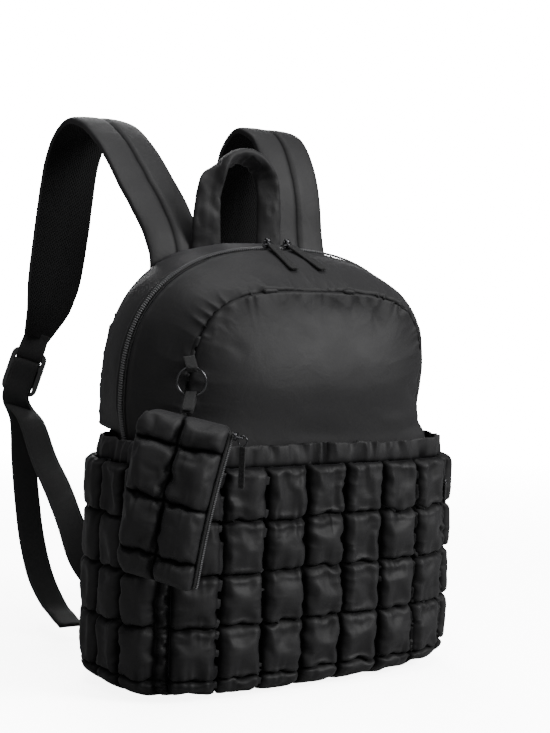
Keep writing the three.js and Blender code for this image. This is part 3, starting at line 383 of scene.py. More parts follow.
def makeSatin(name, look, stitches=()):
    material, tree, shader = startMaterial(name, {
        "Sheen Weight": 0.05,
        "Sheen Roughness": 0.5,
        "Sheen Tint": (0.7, 0.7, 0.75, 1),
    })
    place, flat = coordinates(tree)
    wear = addGroup(tree, "wear", {"Place": place})
    crinkle = addGroup(tree, "crinkle", {"Place": place}, Scale=look["crinkle"])
    weave = addGroup(tree, "weave", {"Flat": flat}, Threads=look["threads"])
    colour = blendColours(tree, wear["Patch"], look["dark"], look["light"])
    thread = None
    for offset in stitches:
        mask = addGroup(tree, "stitch", {"Flat": flat}, Offset=offset)["Mask"]
        thread = mask if thread is None else addMath(tree, "MAXIMUM", thread, mask)
    if thread is not None:
        colour = blendColours(tree, thread, colour, look["thread"])
    # painted shade: the seamShade attribute darkens the base colour and the specular where cloth is pinched
    # into a seam
    seamShadeNode = tree.nodes.new("ShaderNodeAttribute")
    seamShadeNode.attribute_name = "seamShade"
    shade = span(tree, seamShadeNode.outputs["Fac"], 1.0, look["seamShadow"])
    dimmed = tree.nodes.new("ShaderNodeVectorMath")
    dimmed.operation = "SCALE"
    tree.links.new(colour, dimmed.inputs[0])
    connect(tree, dimmed, {"Scale": shade})
    normal = bump(tree, crinkle["Height"], look["crinkleDepth"], None, 0.55)
    normal = bump(tree, weave["Height"], look["weaveDepth"], normal, 0.5)
    if thread is not None:
        normal = bump(tree, thread, threadHeight, normal)
    connect(tree, shader, {
        "Specular IOR Level": addMath(tree, "MULTIPLY", shade, look["specular"]),
        "Base Color": dimmed.outputs[0],
        "Roughness": span(tree, crinkle["Shade"], look["roughLow"], look["roughHigh"]),
        "Normal": normal,
    })
    return material


meshLook = {
    "dark": (0.0015, 0.0015, 0.0015), "light": (0.0085, 0.0085, 0.009),
    "rough": (0.62, 0.85), "cells": 330.0, "depth": 0.0008,
}


def makeSpacer(name, look):
    material, tree, shader = startMaterial(name, {"Specular IOR Level": 0.14, "Sheen Weight": 0.03})
    place, flat = coordinates(tree)
    cells = addGroup(tree, "spacer", {"Flat": flat}, Cells=look["cells"])
    wear = addGroup(tree, "wear", {"Place": place})
    # painted shade: the open cells are coloured darker than their walls
    connect(tree, shader, {
        "Base Color": blendColours(tree, cells["Height"], look["dark"], look["light"]),
        "Roughness": span(tree, wear["Speck"], *look["rough"]),
        "Normal": bump(tree, cells["Height"], look["depth"]),
    })
    return material


tapeLook = {
    "dark": (0.005, 0.005, 0.0055), "light": (0.0135, 0.0135, 0.014),
    "rough": (0.55, 0.8), "ribs": 3600.0, "picks": 5200.0, "depth": 0.00028,
}


def makeTape(name, look, stitches=()):
    material, tree, shader = startMaterial(name, {"Specular IOR Level": 0.32, "Sheen Weight": 0.1})
    place, flat = coordinates(tree)
    ribs = addGroup(tree, "ribs", {"Flat": flat}, Ribs=look["ribs"], Picks=look["picks"])
    wear = addGroup(tree, "wear", {"Place": place})
    normal = bump(tree, ribs["Height"], look["depth"])
    for offset in stitches:
        mask = addGroup(tree, "stitch", {"Flat": flat}, Offset=offset)["Mask"]
        normal = bump(tree, mask, threadHeight, normal)
    connect(tree, shader, {
        "Base Color": blendColours(tree, wear["Patch"], look["dark"], look["light"]),
        "Roughness": span(tree, wear["Speck"], *look["rough"]),
        "Normal": normal,
    })
    return material


def makeHard(name, look, roughFrom, settings):
    # moulded plastic or plated metal; roughFrom is the wear that changes its gloss
    material, tree, shader = startMaterial(name, settings)
    place, _ = coordinates(tree)
    wear = addGroup(tree, "wear", {"Place": place})
    below, above = look["spread"]
    connect(tree, shader, {
        "Base Color": blendColours(tree, wear["Patch"], look["dark"], look["light"]),
        "Roughness": span(tree, wear[roughFrom], look["rough"] - below, look["rough"] + above),
        "Normal": bump(tree, wear["Speck"], look["grain"]),
    })
    return material


coilLook = {
    "dark": (0.09, 0.09, 0.094), "light": (0.15, 0.15, 0.155),
    "rough": 0.32, "spread": (0.08, 0.1), "grain": 0.00003,
}
plasticLook = {
    "dark": (0.010, 0.010, 0.011), "light": (0.022, 0.022, 0.023),
    "rough": 0.42, "spread": (0.08, 0.1), "grain": 0.00005,
}
gunmetalLook = {
    "dark": (0.05, 0.05, 0.053), "light": (0.11, 0.11, 0.115),
    "rough": 0.26, "spread": (0.06, 0.08), "grain": 0.00004,
}
liningLook = {**satinLook, "roughLow": 0.6, "roughHigh": 0.75, "crinkleDepth": 0.0007}
looks = {
    "satin": makeSatin("satinNylon", satinLook),
    "lining": makeSatin("plainNylon", liningLook),
    "spacer": makeSpacer("spacerMesh", meshLook),
    "webbing": makeTape("ribbedWebbing", tapeLook, (-0.0105, 0.0105)),
    "narrowTape": makeTape("narrowTape", {**tapeLook, "ribs": 5200.0}),
    "zipTape": makeTape("zipTape", {**tapeLook, "ribs": 7200.0, "picks": 7200.0}),
    "coil": makeHard("nylonCoil", coilLook, "Patch", {"Specular IOR Level": 0.45}),
    "plastic": makeHard("mouldedPlastic", plasticLook, "Patch", {"Specular IOR Level": 0.45}),
    "gunmetal": makeHard("gunmetalPlating", gunmetalLook, "Speck",
                         {"Metallic": 1.0, "Specular IOR Level": 0.5}),
}
print("materials made")


# small helpers for lines, grids and meshes; lengths are in mm until a mesh is made
def signedPower(value, power):
    return np.sign(value) * np.abs(value) ** power


def mix(low, high, share):
    return low + (high - low) * share


def smooth(low, high, value):
    t = np.clip((np.asarray(value, float) - low) / (high - low), 0, 1)
    return t * t * (3 - 2 * t)


def unit(vector):
    vector = np.asarray(vector, float)
    return vector / np.maximum(np.linalg.norm(vector, axis=-1, keepdims=True), 1e-9)


def ripple(x, y, seed):
    # smooth repeatable noise from -1 to 1 over a plane of unit cells
    x, y = np.broadcast_arrays(np.asarray(x, float), np.asarray(y, float))
    cellX, cellY = np.floor(x).astype(np.int64), np.floor(y).astype(np.int64)
    partX, partY = x - cellX, y - cellY
    partX, partY = partX * partX * (3 - 2 * partX), partY * partY * (3 - 2 * partY)

    def corner(dx, dy):
        mixed = ((cellX + dx) * 374761393 + (cellY + dy) * 668265263 + seed * 974634777) & 0xFFFFFFFF
        mixed = ((mixed ^ (mixed >> 13)) * 1274126177) & 0xFFFFFFFF
        return ((mixed ^ (mixed >> 16)) & 0xFFFF) / 32767.5 - 1

    low = mix(corner(0, 0), corner(1, 0), partX)
    high = mix(corner(0, 1), corner(1, 1), partX)
    return mix(low, high, partY)


def fold(x, y, seed):
    # noise with narrow ridges, for pinched cloth
    return 1 - 2 * np.abs(ripple(x, y, seed)) ** 0.7


def rise(distance, reach):
    t = np.clip(distance / reach, 0, 1)
    return np.sqrt(np.maximum(1 - (1 - t) ** 2, 0))


def hump(distance, width):
    return np.exp(-(distance / width) ** 2)


def fromSeam(distance, reach, start):
    # nothing on the seam itself, most just beside it, fading over the reach
    return np.exp(-distance / reach) * (1 - np.exp(-distance / start))


def turns(count):
    return np.arange(count) * 2 * math.pi / count


def lengthAlong(path):
    return np.concatenate([[0], np.cumsum(np.linalg.norm(np.diff(path, axis=0), axis=1))])


def facing(way):
    return lambda grid: np.broadcast_to(way, grid.shape)


def gridQuads(index):
    return np.stack([index[:-1, :-1], index[:-1, 1:], index[1:, 1:], index[1:, :-1]], -1).reshape(-1, 4)


def refineValues(values):
    return refine(values[..., None])[..., 0]


def gridNormals(grid, outward):
    up = np.gradient(grid, axis=0)
    across = np.gradient(grid, axis=1)
    normal = unit(np.cross(across, up))
    flip = np.sign(np.sum(normal * outward(grid), axis=-1, keepdims=True))
    return normal * np.where(flip == 0, 1, flip)


def refine(grid, times=1):
    # doubles a grid's rows and columns along smooth curves
    for _ in range(times):
        for axis in (0, 1):
            g = np.moveaxis(grid, axis, 0)
            padded = np.concatenate([2 * g[:1] - g[1:2], g, 2 * g[-1:] - g[-2:-1]])
            middle = (9 * (padded[1:-2] + padded[2:-1]) - padded[:-3] - padded[3:]) / 16
            both = np.empty((2 * len(g) - 1, *g.shape[1:]))
            both[0::2] = g
            both[1::2] = middle
            grid = np.moveaxis(both, 0, axis)
    return grid


def meshVolume(points, faces):
    a, b, c, d = (points[faces[:, k]] for k in range(4))
    return float(np.sum(np.einsum("ij,ij->i", a, np.cross(b, c)) + np.einsum("ij,ij->i", a, np.cross(c, d))))


def makePiece(name, points, quads, look, replaced=(), flat=None, body=bodyName, ends=(), faceLooks=None,
              shade=None):
    quads = np.asarray(quads)
    turned = meshVolume(points, quads) < 0
    faces = (quads[:, ::-1] if turned else quads).tolist()
    faces += [list(reversed(end)) if turned else list(end) for end in ends]
    mesh = bpy.data.meshes.new(name)
    mesh.from_pydata((np.asarray(points) * 0.001).tolist(), [], faces)
    mesh.update()
    names = [look] if isinstance(look, str) else list(look)
    for key in names:
        mesh.materials.append(looks[key])
    if flat is not None:
        corner = np.empty(len(mesh.loops), np.int32)
        mesh.loops.foreach_get("vertex_index", corner)
        layer = mesh.uv_layers.new(name="clothFlat")
        layer.data.foreach_set("uv", (np.asarray(flat)[corner] * 0.001).astype(np.float32).ravel())
    if shade is not None:
        layer = mesh.attributes.new("seamShade", "FLOAT", "POINT")
        values = np.zeros(len(points), np.float32)
        values[:np.size(shade)] = np.clip(shade, 0, 1).ravel()
        layer.data.foreach_set("value", values)
    if faceLooks is not None:
        spare = np.zeros(len(faces), np.int32)
        spare[:len(faceLooks)] = faceLooks
        mesh.polygons.foreach_set("material_index", spare)
    mesh.polygons.foreach_set("use_smooth", np.ones(len(faces), bool))
    piece = addObject(name, mesh)
    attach(piece, body)
    if replaced:
        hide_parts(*replaced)
    return piece


def clothPiece(name, outer, thick, look, replaced, outward, flat=None, **more):
    # closed cloth: the outer grid, the same grid set inward, and a rim round both
    rows, columns = outer.shape[:2]
    inner = outer - gridNormals(outer, outward) * np.broadcast_to(thick, (rows, columns))[..., None]
    index = np.arange(rows * columns).reshape(rows, columns)
    total = rows * columns
    face = gridQuads(index)
    loop = np.concatenate([index[0, :], index[1:, -1], index[-1, -2::-1], index[-2:0:-1, 0]])
    after = np.roll(loop, -1)
    rim = np.stack([after, loop, loop + total, after + total], -1)
    quads = np.concatenate([face, face[:, ::-1] + total, rim])
    points = np.concatenate([outer.reshape(-1, 3), inner.reshape(-1, 3)])
    if flat is None:
        along = lengthAlong(outer[rows // 2])
        upward = lengthAlong(outer[:, columns // 2])
        flat = np.stack(np.meshgrid(along, upward), -1)
    flat = np.concatenate([flat.reshape(-1, 2)] * 2)
    return makePiece(name, points, quads, look, replaced, flat, **more)


def tubePiece(name, rings, look, replaced=(), looped=False, sectionLooks=None, **more):
    rings = np.asarray(rings)
    count, sides = rings.shape[:2]
    index = np.arange(count * sides).reshape(count, sides)
    after = np.roll(index, -1, axis=0) if looped else index[1:]
    here = index if looped else index[:-1]
    quads = np.stack([here, np.roll(here, -1, 1), np.roll(after, -1, 1), after], -1).reshape(-1, 4)
    ends = () if looped else (index[0][::-1].tolist(), index[-1].tolist())
    along = lengthAlong(rings.mean(1))
    across = lengthAlong(rings[count // 2])
    flat = np.stack(np.meshgrid(along, across, indexing="ij"), -1).reshape(-1, 2)
    if "flat" in more:
        flat = more.pop("flat")(along)
    faceLooks = None if sectionLooks is None else np.tile(sectionLooks, len(here))
    more.update(ends=ends, faceLooks=faceLooks)
    return makePiece(name, rings.reshape(-1, 3), quads, look, replaced, flat, **more)


def curvePoint(points, t):
    # the same smooth line through the points as the solids use
    points = np.asarray(points, float)
    spans = len(points) - 1
    place = np.clip(t, 0, 1) * spans
    k = int(min(math.floor(place), spans - 1))
    w = place - k
    p1, p2 = points[k], points[k + 1]
    p0 = points[k - 1] if k > 0 else 2 * points[0] - points[1]
    p3 = points[k + 2] if k + 2 <= spans else 2 * points[-1] - points[-2]
    d0, d1, d2 = (float(np.sum((a - b) ** 2)) ** 0.25 for a, b in ((p0, p1), (p1, p2), (p2, p3)))
    t1 = ((p1 - p0) / d0 - (p2 - p0) / (d0 + d1) + (p2 - p1) / d1) * d1
    t2 = ((p2 - p1) / d1 - (p3 - p1) / (d1 + d2) + (p3 - p2) / d2) * d1
    c2 = -3 * p1 + 3 * p2 - 2 * t1 - t2
    c3 = 2 * p1 - 2 * p2 + t1 + t2
    return p1 + t1 * w + c2 * w * w + c3 * w ** 3


def sweepRings(rows, section, acrossAt, cuts, shape=None):
    # section is a list of (share of the width, share of the thickness)
    rows = np.asarray(rows, float)
    spans = len(rows) - 1
    section = np.asarray(section, float)
    rings = []
    for k in range(spans * cuts + 1):
        t = k / (spans * cuts)
        ahead = curvePoint(rows[:, :3], min(t + 1e-4, 1))
        behind = curvePoint(rows[:, :3], max(t - 1e-4, 0))
        along = unit(ahead - behind)
        across = np.asarray(acrossAt(t), float)
        across = unit(across - across.dot(along) * along)
        up = np.cross(along, across)
        low = min(int(t * spans), spans - 1)
        wide, thick = mix(rows[low, 3:5], rows[low + 1, 3:5], t * spans - low)
        s, h = section[:, 0], section[:, 1]
        if shape is not None:
            s, h = shape(t, s, h)
        centre = curvePoint(rows[:, :3], t)
        rings.append(centre + np.outer(s * wide, across) + np.outer(h * thick, up))
    return np.array(rings)


def wireRings(path, radius, sides=10, looped=False):
    path = np.asarray(path, float)
    if looped:
        along = unit(np.roll(path, -1, 0) - np.roll(path, 1, 0))
    else:
        along = unit(np.gradient(path, axis=0))
    side = np.cross(along[0], (0.3, 0.2, 0.93))
    rings = []
    angle = turns(sides)
    for centre, way in zip(path, along):
        side = unit(side - side.dot(way) * way)
        other = np.cross(way, side)
        rings.append(centre + radius * (np.outer(np.cos(angle), side) + np.outer(np.sin(angle), other)))
    return np.array(rings)


def joinPieces(name, pieces, replaced, body=bodyName):
    # several closed shapes kept as one piece
    bpy.ops.object.select_all(action="DESELECT")
    for piece in pieces:
        piece.select_set(True)
    bpy.context.view_layer.objects.active = pieces[0]
    bpy.ops.object.join()
    whole = pieces[0]
    whole.name = name
    whole.data.name = name
    if replaced:
        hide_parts(*replaced)
    return whole


def puffUp(name, grid, held, settings):
    # lets the cloth swell and crumple between its stitches; held is 1 where it is sewn down
    rows, columns = grid.shape[:2]
    index = np.arange(rows * columns).reshape(rows, columns)
    faces = gridQuads(index)
    mesh = bpy.data.meshes.new(name)
    scale = settings["scale"]
    mesh.from_pydata((grid.reshape(-1, 3) * 0.001 * scale).tolist(), [], faces.tolist())
    cloth = addObject(name, mesh)
    pins = cloth.vertex_groups.new(name="sewn")
    flatHeld = held.ravel()
    for value in np.unique(np.round(flatHeld, 2)):
        if value > 0:
            pins.add(np.flatnonzero(np.round(flatHeld, 2) == value).tolist(), float(value), "REPLACE")
    swell = cloth.modifiers.new("swell", "CLOTH")
    rules = swell.settings
    rules.quality = settings["quality"]
    rules.mass = settings["mass"]
    rules.tension_stiffness = settings["stretch"]
    rules.compression_stiffness = settings["stretch"]
    rules.shear_stiffness = settings["shear"]
    rules.bending_stiffness = settings["bend"]
    rules.vertex_group_mass = "sewn"
    rules.pin_stiffness = 1.0
    rules.shrink_min = -settings["extra"]
    rules.use_pressure = True
    rules.uniform_pressure_force = settings["pressure"]
    rules.effector_weights.gravity = 0
    swell.collision_settings.use_collision = False
    swell.collision_settings.use_self_collision = False
    swell.point_cache.frame_start = 1
    swell.point_cache.frame_end = settings["frames"]
    scene = bpy.context.scene
    for step in range(1, settings["frames"] + 1):
        scene.frame_set(step)
    seen = cloth.evaluated_get(bpy.context.evaluated_depsgraph_get())
    moved = np.empty(rows * columns * 3, np.float32)
    seen.data.vertices.foreach_get("co", moved)
    moved = moved.reshape(rows, columns, 3).astype(float) * 1000 / scale
    bpy.data.objects.remove(cloth, do_unlink=True)
    scene.frame_set(1)
    step = moved - grid
    far = np.linalg.norm(step, axis=-1, keepdims=True)
    print(name, "swelled", round(float(far.mean()), 2), "mm, most", round(float(far.max()), 2))
    step = step * np.minimum(1, settings["cap"] / np.maximum(far, 1e-6))
    for _ in range(settings["calm"]):
        inner = step[1:-1, 1:-1]
        around = step[:-2, 1:-1] + step[2:, 1:-1] + step[1:-1, :-2] + step[1:-1, 2:]
        step[1:-1, 1:-1] = inner * 0.4 + 0.15 * around
    return grid + step


# plan of the quilting, as in the solids
plan = {"halfWidth": 168, "halfDepth": 79, "power": 3.6}
planAngles = np.linspace(-math.pi / 2, math.pi / 2, 2881)
planX = plan["halfWidth"] * signedPower(np.cos(planAngles), 2 / plan["power"])
planY = plan["halfDepth"] * signedPower(np.sin(planAngles), 2 / plan["power"])
planArcs = np.concatenate([[0], np.cumsum(np.hypot(np.diff(planX), np.diff(planY)))])


def planAt(arc, inset):
    angle = np.interp(np.abs(arc), planArcs, planAngles)
    x = (plan["halfWidth"] - inset) * signedPower(np.cos(angle), 2 / plan["power"])
    y = (plan["halfDepth"] - inset) * signedPower(np.sin(angle), 2 / plan["power"])
    return np.where(np.asarray(arc) < 0, -1, 1) * x, y


def planNormal(arc):
    x, y = planAt(arc, 0)
    nx = signedPower(x / plan["halfWidth"], plan["power"] - 1) / plan["halfWidth"]
    ny = signedPower(y / plan["halfDepth"], plan["power"] - 1) / plan["halfDepth"]
    size = np.hypot(nx, ny)
    return nx / size, ny / size


# quilted lower half
quilt = {
    "low": 20, "tile": 44, "rows": 4, "band": 18,
    "columns": 7, "pitch": 41.6, "gather": 11.2, "sideColumns": 4, "sidePitch": 35.3,
    # dark: widths of the painted shade beside the column and the row seams
    "puff": 7.5, "columnLine": -3.0, "rowLine": -0.8, "dark": (3.4, 1.7), "gatherScale": 0.5,
    "backing": 2.4, "fill": 0.7, "corner": 9, "edge": 9.5, "steep": (1.15, 1.9), "jag": 1.2,
    "sag": 1.8, "turnIn": 6.0, "swellShare": 0.85,
    "baseInset": 24.6, "drop": 18.5, "cell": 2.5,
    "pucker": 1.3, "puckerReach": 7, "wobble": 1.9,
    "sim": {
        "scale": 1.0, "quality": 5, "mass": 0.12, "stretch": 12, "shear": 6, "bend": 1.6,
        "extra": 0.06, "pressure": 3.2, "frames": 16, "cap": 3.6, "calm": 2,
    },
}
frontArc = quilt["columns"] / 2 * quilt["pitch"]
sideArc = frontArc + quilt["gather"]
backArc = sideArc + quilt["sideColumns"] * quilt["sidePitch"]
quiltTop = quilt["low"] + quilt["rows"] * quilt["tile"]
bandTop = quiltTop + quilt["band"]


def quiltPlace(arc, level, out):
    # level runs from -1 at the base seam through 0 at the lowest row line to the number of rows
    curl = np.clip(-level, 0, 1) * math.pi / 2
    inset = quilt["baseInset"] * (1 - np.cos(curl))
    x, y = planAt(arc, inset)
    nx, ny = planNormal(arc)
    fade = np.cos(curl)
    drop = (quilt["drop"] + np.minimum(out, 0)) * np.sin(curl)
    z = quilt["low"] + quilt["tile"] * np.maximum(level, 0) - drop
    return np.stack([x + nx * out * fade, y + ny * out * fade, z], -1)


def quiltPanel(name, start, widths, scales, seed, node):
    way = np.sign(widths[0])
    arcs = []
    edge = start
    for k, width in enumerate(widths):
        cells = max(4, round(abs(width) / quilt["cell"]))
        arcs += [edge + width * c / cells for c in range(cells + (k == len(widths) - 1))]
        edge += width
    arcs[0] += 0.3 * way
    arcs[-1] -= 0.3 * way
    curlCells = 12
    cells = round(quilt["tile"] / quilt["cell"])
    levels = [-1 + k / curlCells for k in range(curlCells)]
    levels += [r + k / cells for r in range(quilt["rows"]) for k in range(cells)] + [quilt["rows"] - 0.005]
    arcs, levels = np.array(arcs), np.array(levels)
    lines = start + np.concatenate([[0], np.cumsum(widths)])

    def shapeAt(arcs, levels):
        arc, level = np.meshgrid(arcs, levels)
        order = np.argsort(lines)
        column = np.clip(np.searchsorted(lines[order], arc, side="right") - 1, 0, len(widths) - 1)
        left, right = lines[order][column], lines[order][column + 1]
        scale = np.array(scales)[column if way > 0 else len(widths) - 1 - column]
        across = (arc - left) / (right - left)
        sideGap = np.minimum(arc - left, right - arc).clip(0)
        row = np.clip(np.floor(level + 1e-9), -1, quilt["rows"] - 1)
        up = level - row
        rowGap = np.minimum(up, 1 - up).clip(0) * np.where(level < 0, 32, quilt["tile"])
        side, line = np.round(column + across), np.round(level)
        high = level * quilt["tile"]
        # the cloth is drawn in unevenly along every seam
        jag = quilt["jag"] * scale ** 2
        sideJag = jag * (0.7 + 1.3 * ripple(high / 8, side * 7.3 + across, seed + 21))
        rowJag = jag * 0.8 * (0.5 + 1.3 * ripple(arc / 7, line * 7.3 + up, seed + 23))
        drawnSide = sideGap - sideJag * (1 - np.exp(-sideGap / 1.5))
        drawnRow = rowGap - rowJag * (1 - np.exp(-rowGap / 1.5))
        drawnSide, drawnRow = drawnSide.clip(0) * quilt["steep"][0], drawnRow.clip(0) * quilt["steep"][1]
        corner = quilt["corner"] * scale
        cutX, cutZ = (corner - drawnSide).clip(0), (corner - drawnRow).clip(0)
        nearest = np.minimum(drawnSide, drawnRow)
        inside = np.where((cutX > 0) & (cutZ > 0), corner - np.hypot(cutX, cutZ), nearest)
        shape = rise(inside.clip(0), quilt["edge"]) * mix(0.84, 1, rise(np.minimum(sideGap, rowGap), 20))
        floorLine = mix(quilt["rowLine"], quilt["columnLine"], np.exp(-sideGap / 3.0))
        floorLine = floorLine * np.minimum(1, scale * 1.4)
        belly = np.cos(np.clip(-level, 0, 1) * math.pi / 2) ** 0.5
        swellShare = quilt["swellShare"]
        out = mix(floorLine, quilt["puff"] * scale * swellShare, shape)
        # the last side edge turns in to the back panel
        turnIn = quilt["turnIn"] * smooth(backArc - 6, backArc, np.abs(arc))
        place = quiltPlace(arc, level, out * belly - turnIn)
        place[..., 2] -= quilt["sag"] * shape * scale * belly * (level > 0)
        return place, arc, level, sideGap, rowGap, scale, side, line

    place, arc, level, sideGap, rowGap, scale, side, line = shapeAt(arcs, levels)
    held = np.zeros(arc.shape)
    held[(sideGap < 1e-6) | (rowGap < 1e-6)] = 1
    held[0, :] = held[-1, :] = held[:, 0] = held[:, -1] = 1
    moved = puffUp(name, place, held, quilt["sim"]) - place
    doubled = lambda values: refineValues(np.repeat(values[:, None], 4, 1))[:, 0]
    place, arc, level, sideGap, rowGap, scale, side, line = shapeAt(doubled(arcs), doubled(levels))
    place = place + refine(moved)
    height = level * quilt["tile"]
    nx, ny = planNormal(arc)
    normal = np.stack([nx, ny, np.zeros_like(nx)], -1)
    rowFolds = fold(arc / 6.5, line * 3.7, seed) * fromSeam(rowGap, quilt["puckerReach"], 1.3)
    sideFolds = fold(height / 6.5, side * 5.3, seed + 3) * fromSeam(sideGap, quilt["puckerReach"], 1.3)
    gathered = scale < 0.9
    sideFolds = np.where(gathered, 3.0 * fold(height / 5.0, side, seed + 5) * rise(sideGap, 4), sideFolds)
    soft = 0.6 * ripple(arc / 17, height / 17, seed + 9) * rise(np.minimum(sideGap, rowGap), 10)
    lift = quilt["pucker"] * (rowFolds + np.where(gathered, sideFolds * 0.5, sideFolds)) + soft
    fade = np.cos(np.clip(-level, 0, 1) * math.pi / 2)
    place += normal * (lift * fade)[..., None]
    sway = quilt["wobble"] * ripple(arc / 9, line * 2.3, seed + 12) * np.exp(-rowGap / 7)
    sway[0] = sway[-1] = 0
    place[..., 2] += sway * fade
    drift = quilt["wobble"] * 0.7 * ripple(height / 9, side * 2.3, seed + 14) * np.exp(-sideGap / 6)
    drift[:, :3] = drift[:, -3:] = 0
    place += np.stack([-ny, nx, np.zeros_like(nx)], -1) * (drift * fade)[..., None]
    flat = np.stack([arc, height], -1)

    def outward(grid):
        # below 14 mm the cloth faces the floor
        return grid * np.array([1, 2, 0]) + np.array([0, 0, -1]) * np.where(grid[..., 2:] < 14, 60, 0)

    # painted shade: darker beside the column and row seams, in the valleys of the gathers and of the puckers
    # by the rows
    wideDark, narrowDark = quilt["dark"]
    dark = np.maximum(hump(sideGap, wideDark), hump(rowGap, narrowDark))
    gathers = np.clip(-fold(height / 5.0, side, seed + 5), 0, 1)
    dark = np.where(gathered, 0.45 * dark + 0.5 * gathers, dark)
    dark = np.maximum(dark, 0.6 * np.clip(-rowFolds * 2, 0, 1))
    piece = clothPiece(name, place, quilt["backing"], "satin", [node], outward, flat, shade=dark)


frontWidths = [quilt["pitch"]] * quilt["columns"]
quiltPanel("frontQuilt", -frontArc, frontWidths, [1] * quilt["columns"], 11, "front_quilt")
for name, side, seed, node in (
    ("sideQuiltRight", 1, 31, "side_quilt_right"),
    ("sideQuiltLeft", -1, 51, "side_quilt_left"),
):
    widths = [side * quilt["gather"]] + [side * quilt["sidePitch"]] * quilt["sideColumns"]
    scales = [quilt["gatherScale"]] + [1] * quilt["sideColumns"]
    quiltPanel(name, side * frontArc, widths, scales, seed, node)
print("quilting made")

# gathered elastic band along the top of the quilting
band = {"inset": 2.4, "thick": 2.6, "folds": 5.4, "swell": 2.0, "cell": 1.25, "fill": 0.3}


def bandPiece(name, start, end, seed, node):
    way = np.sign(end - start)
    count = round(abs(end - start) / band["cell"])
    arcs = np.linspace(start + 0.2 * way, end - 0.2 * way, count + 1)
    shares = np.linspace(0, 1, 15)
    arc, share = np.meshgrid(arcs, shares)
    slant = arc + 5 * share * ripple(arc / 30, 0.3, seed + 5)
    folds = fold(slant / 12, share * 0.5, seed) * 0.55 + ripple(slant / 6, share * 0.7, seed + 1) * 0.5
    swell = np.sin(math.pi * np.clip(share * 0.86 + 0.1, 0, 1)) ** 0.6
    out = band["folds"] * folds * mix(0.45, 1, share) + band["swell"] * swell - 1.4
    out = out - 2.2 * np.exp(-share / 0.08)
    top = (1.3 * ripple(arc / 9, 0.5, seed + 7) + 1.0 * ripple(arc / 23, 0.5, seed + 8)) * share
    x, y = planAt(arc, band["inset"])
    nx, ny = planNormal(arc)
    atBack = smooth(backArc - 12, backArc, np.abs(arc))
    out = out - 7.5 * atBack - 4.5 * share * smooth(frontArc - 15, frontArc + 20, np.abs(arc)) * (1 - atBack)
    z = mix(quiltTop - 4.5, bandTop - 0.6, share) + np.clip(top, -2.6, 1.4) + 7.0 * share * atBack
    place = np.stack([x + nx * out, y + ny * out, z], -1)
    outward = lambda grid: grid * np.array([1, 2, 0])
    thick = np.clip(band["thick"] + out - 0.6, 1.2, band["thick"] + 1.5)
    # painted shade along the band's lower edge, where it meets the tiles, and in the valleys of its folds
    dark = np.maximum(hump(share - 0.14, 0.15), 0.85 * np.clip(-folds * 2.2, 0, 1))
    piece = clothPiece(name, place, thick, "satin", [node], outward, np.stack([arc, z], -1), shade=dark)


bandPiece("frontBand", -frontArc, frontArc, 71, "front_band")
bandPiece("sideBandRight", frontArc, backArc, 81, "side_band_right")
bandPiece("sideBandLeft", -frontArc, -backArc, 91, "side_band_left")
print("bands made")

# body panels between the seams
body = {
    "inset": 6, "thick": 1.9, "archCentre": 245, "archCuts": 160, "lowStep": 4.0,
    "swellFront": 5, "swellBack": 3, "gussetCuts": 26, "frontBulge": 4,
    "frontFill": 0.25, "backFill": 0.5, "backThick": 4.5,
}
bx, by = planAt(frontArc, body["inset"])
backX, backY = planAt(backArc, body["inset"] + 1.5)
seamRows = {
    "front": (float(bx), float(by), 186, 245, 125, 345, 3.5, -47, -60),
    "zipFront": (150, 0.8, 186, 245, 159, 378, 2.5, -4, -4),
    "zipBack": (150, 1.2, 186, 245, 159, 379, 2.5, 6, 6),
    "back": (float(backX), float(backY), 212, 219, 142, 383, 2.4, 72, 72),
}
lowHeights = np.arange(26, 243, body["lowStep"])


def seamLine(key):
    lowX, lowY, leave, reach, half, top, power, sideY, topY = seamRows[key]
    t = smooth(leave, reach, lowHeights)
    left = np.stack([-mix(lowX, half, t), mix(lowY, sideY, t), lowHeights], -1)
    angle = math.pi * (1 - np.linspace(0, 1, 1441))
    rising = top - body["archCentre"]
    x = half * signedPower(np.cos(angle), 2 / power)
    z = rising * np.abs(np.sin(angle)) ** (2 / power)
    length = np.concatenate([[0], np.cumsum(np.hypot(np.diff(x), np.diff(z)))])
    even = np.linspace(0, length[-1], body["archCuts"] + 1)
    x, z = np.interp(even, length, x), np.interp(even, length, z)
    y = mix(sideY, topY, smooth(0, 1, z / rising))
    arch = np.stack([x, y, body["archCentre"] + z], -1)
    right = left[::-1] * np.array([-1, 1, 1])
    return np.concatenate([left, arch, right])


seams = {key: seamLine(key) for key in seamRows}


def seamDistance(points, key):
    # how far each point of a grid is from a seam, and how far along the seam it stands
    seam = seams[key][::2]
    flatPoints = points.reshape(-1, 3)
    best = np.full(len(flatPoints), 1e9)
    where = np.zeros(len(flatPoints))
    length = lengthAlong(seam)
    for k in range(len(seam) - 1):
        a, b = seam[k], seam[k + 1]
        way = b - a
        t = np.clip((flatPoints - a) @ way / (way @ way), 0, 1)
        far = np.linalg.norm(flatPoints - (a + t[:, None] * way), axis=1)
        near = far < best
        best[near] = far[near]
        where[near] = length[k] + t[near] * (length[k + 1] - length[k])
    return best.reshape(points.shape[:-1]), where.reshape(points.shape[:-1])


def sideGrid(fromKey, toKey, cuts, swell):
    first, second = seams[fromKey], seams[toKey]
    share = np.linspace(0, 1, cuts + 1)[:, None, None]
    grid = first * (1 - share) + second * share
    along = np.gradient(first, axis=0)
    out = unit(np.stack([-along[:, 2], np.zeros(len(along)), along[:, 0]], -1))
    return grid + out * (swell(grid[..., 2]) * np.sin(math.pi * share[..., 0]))[..., None]


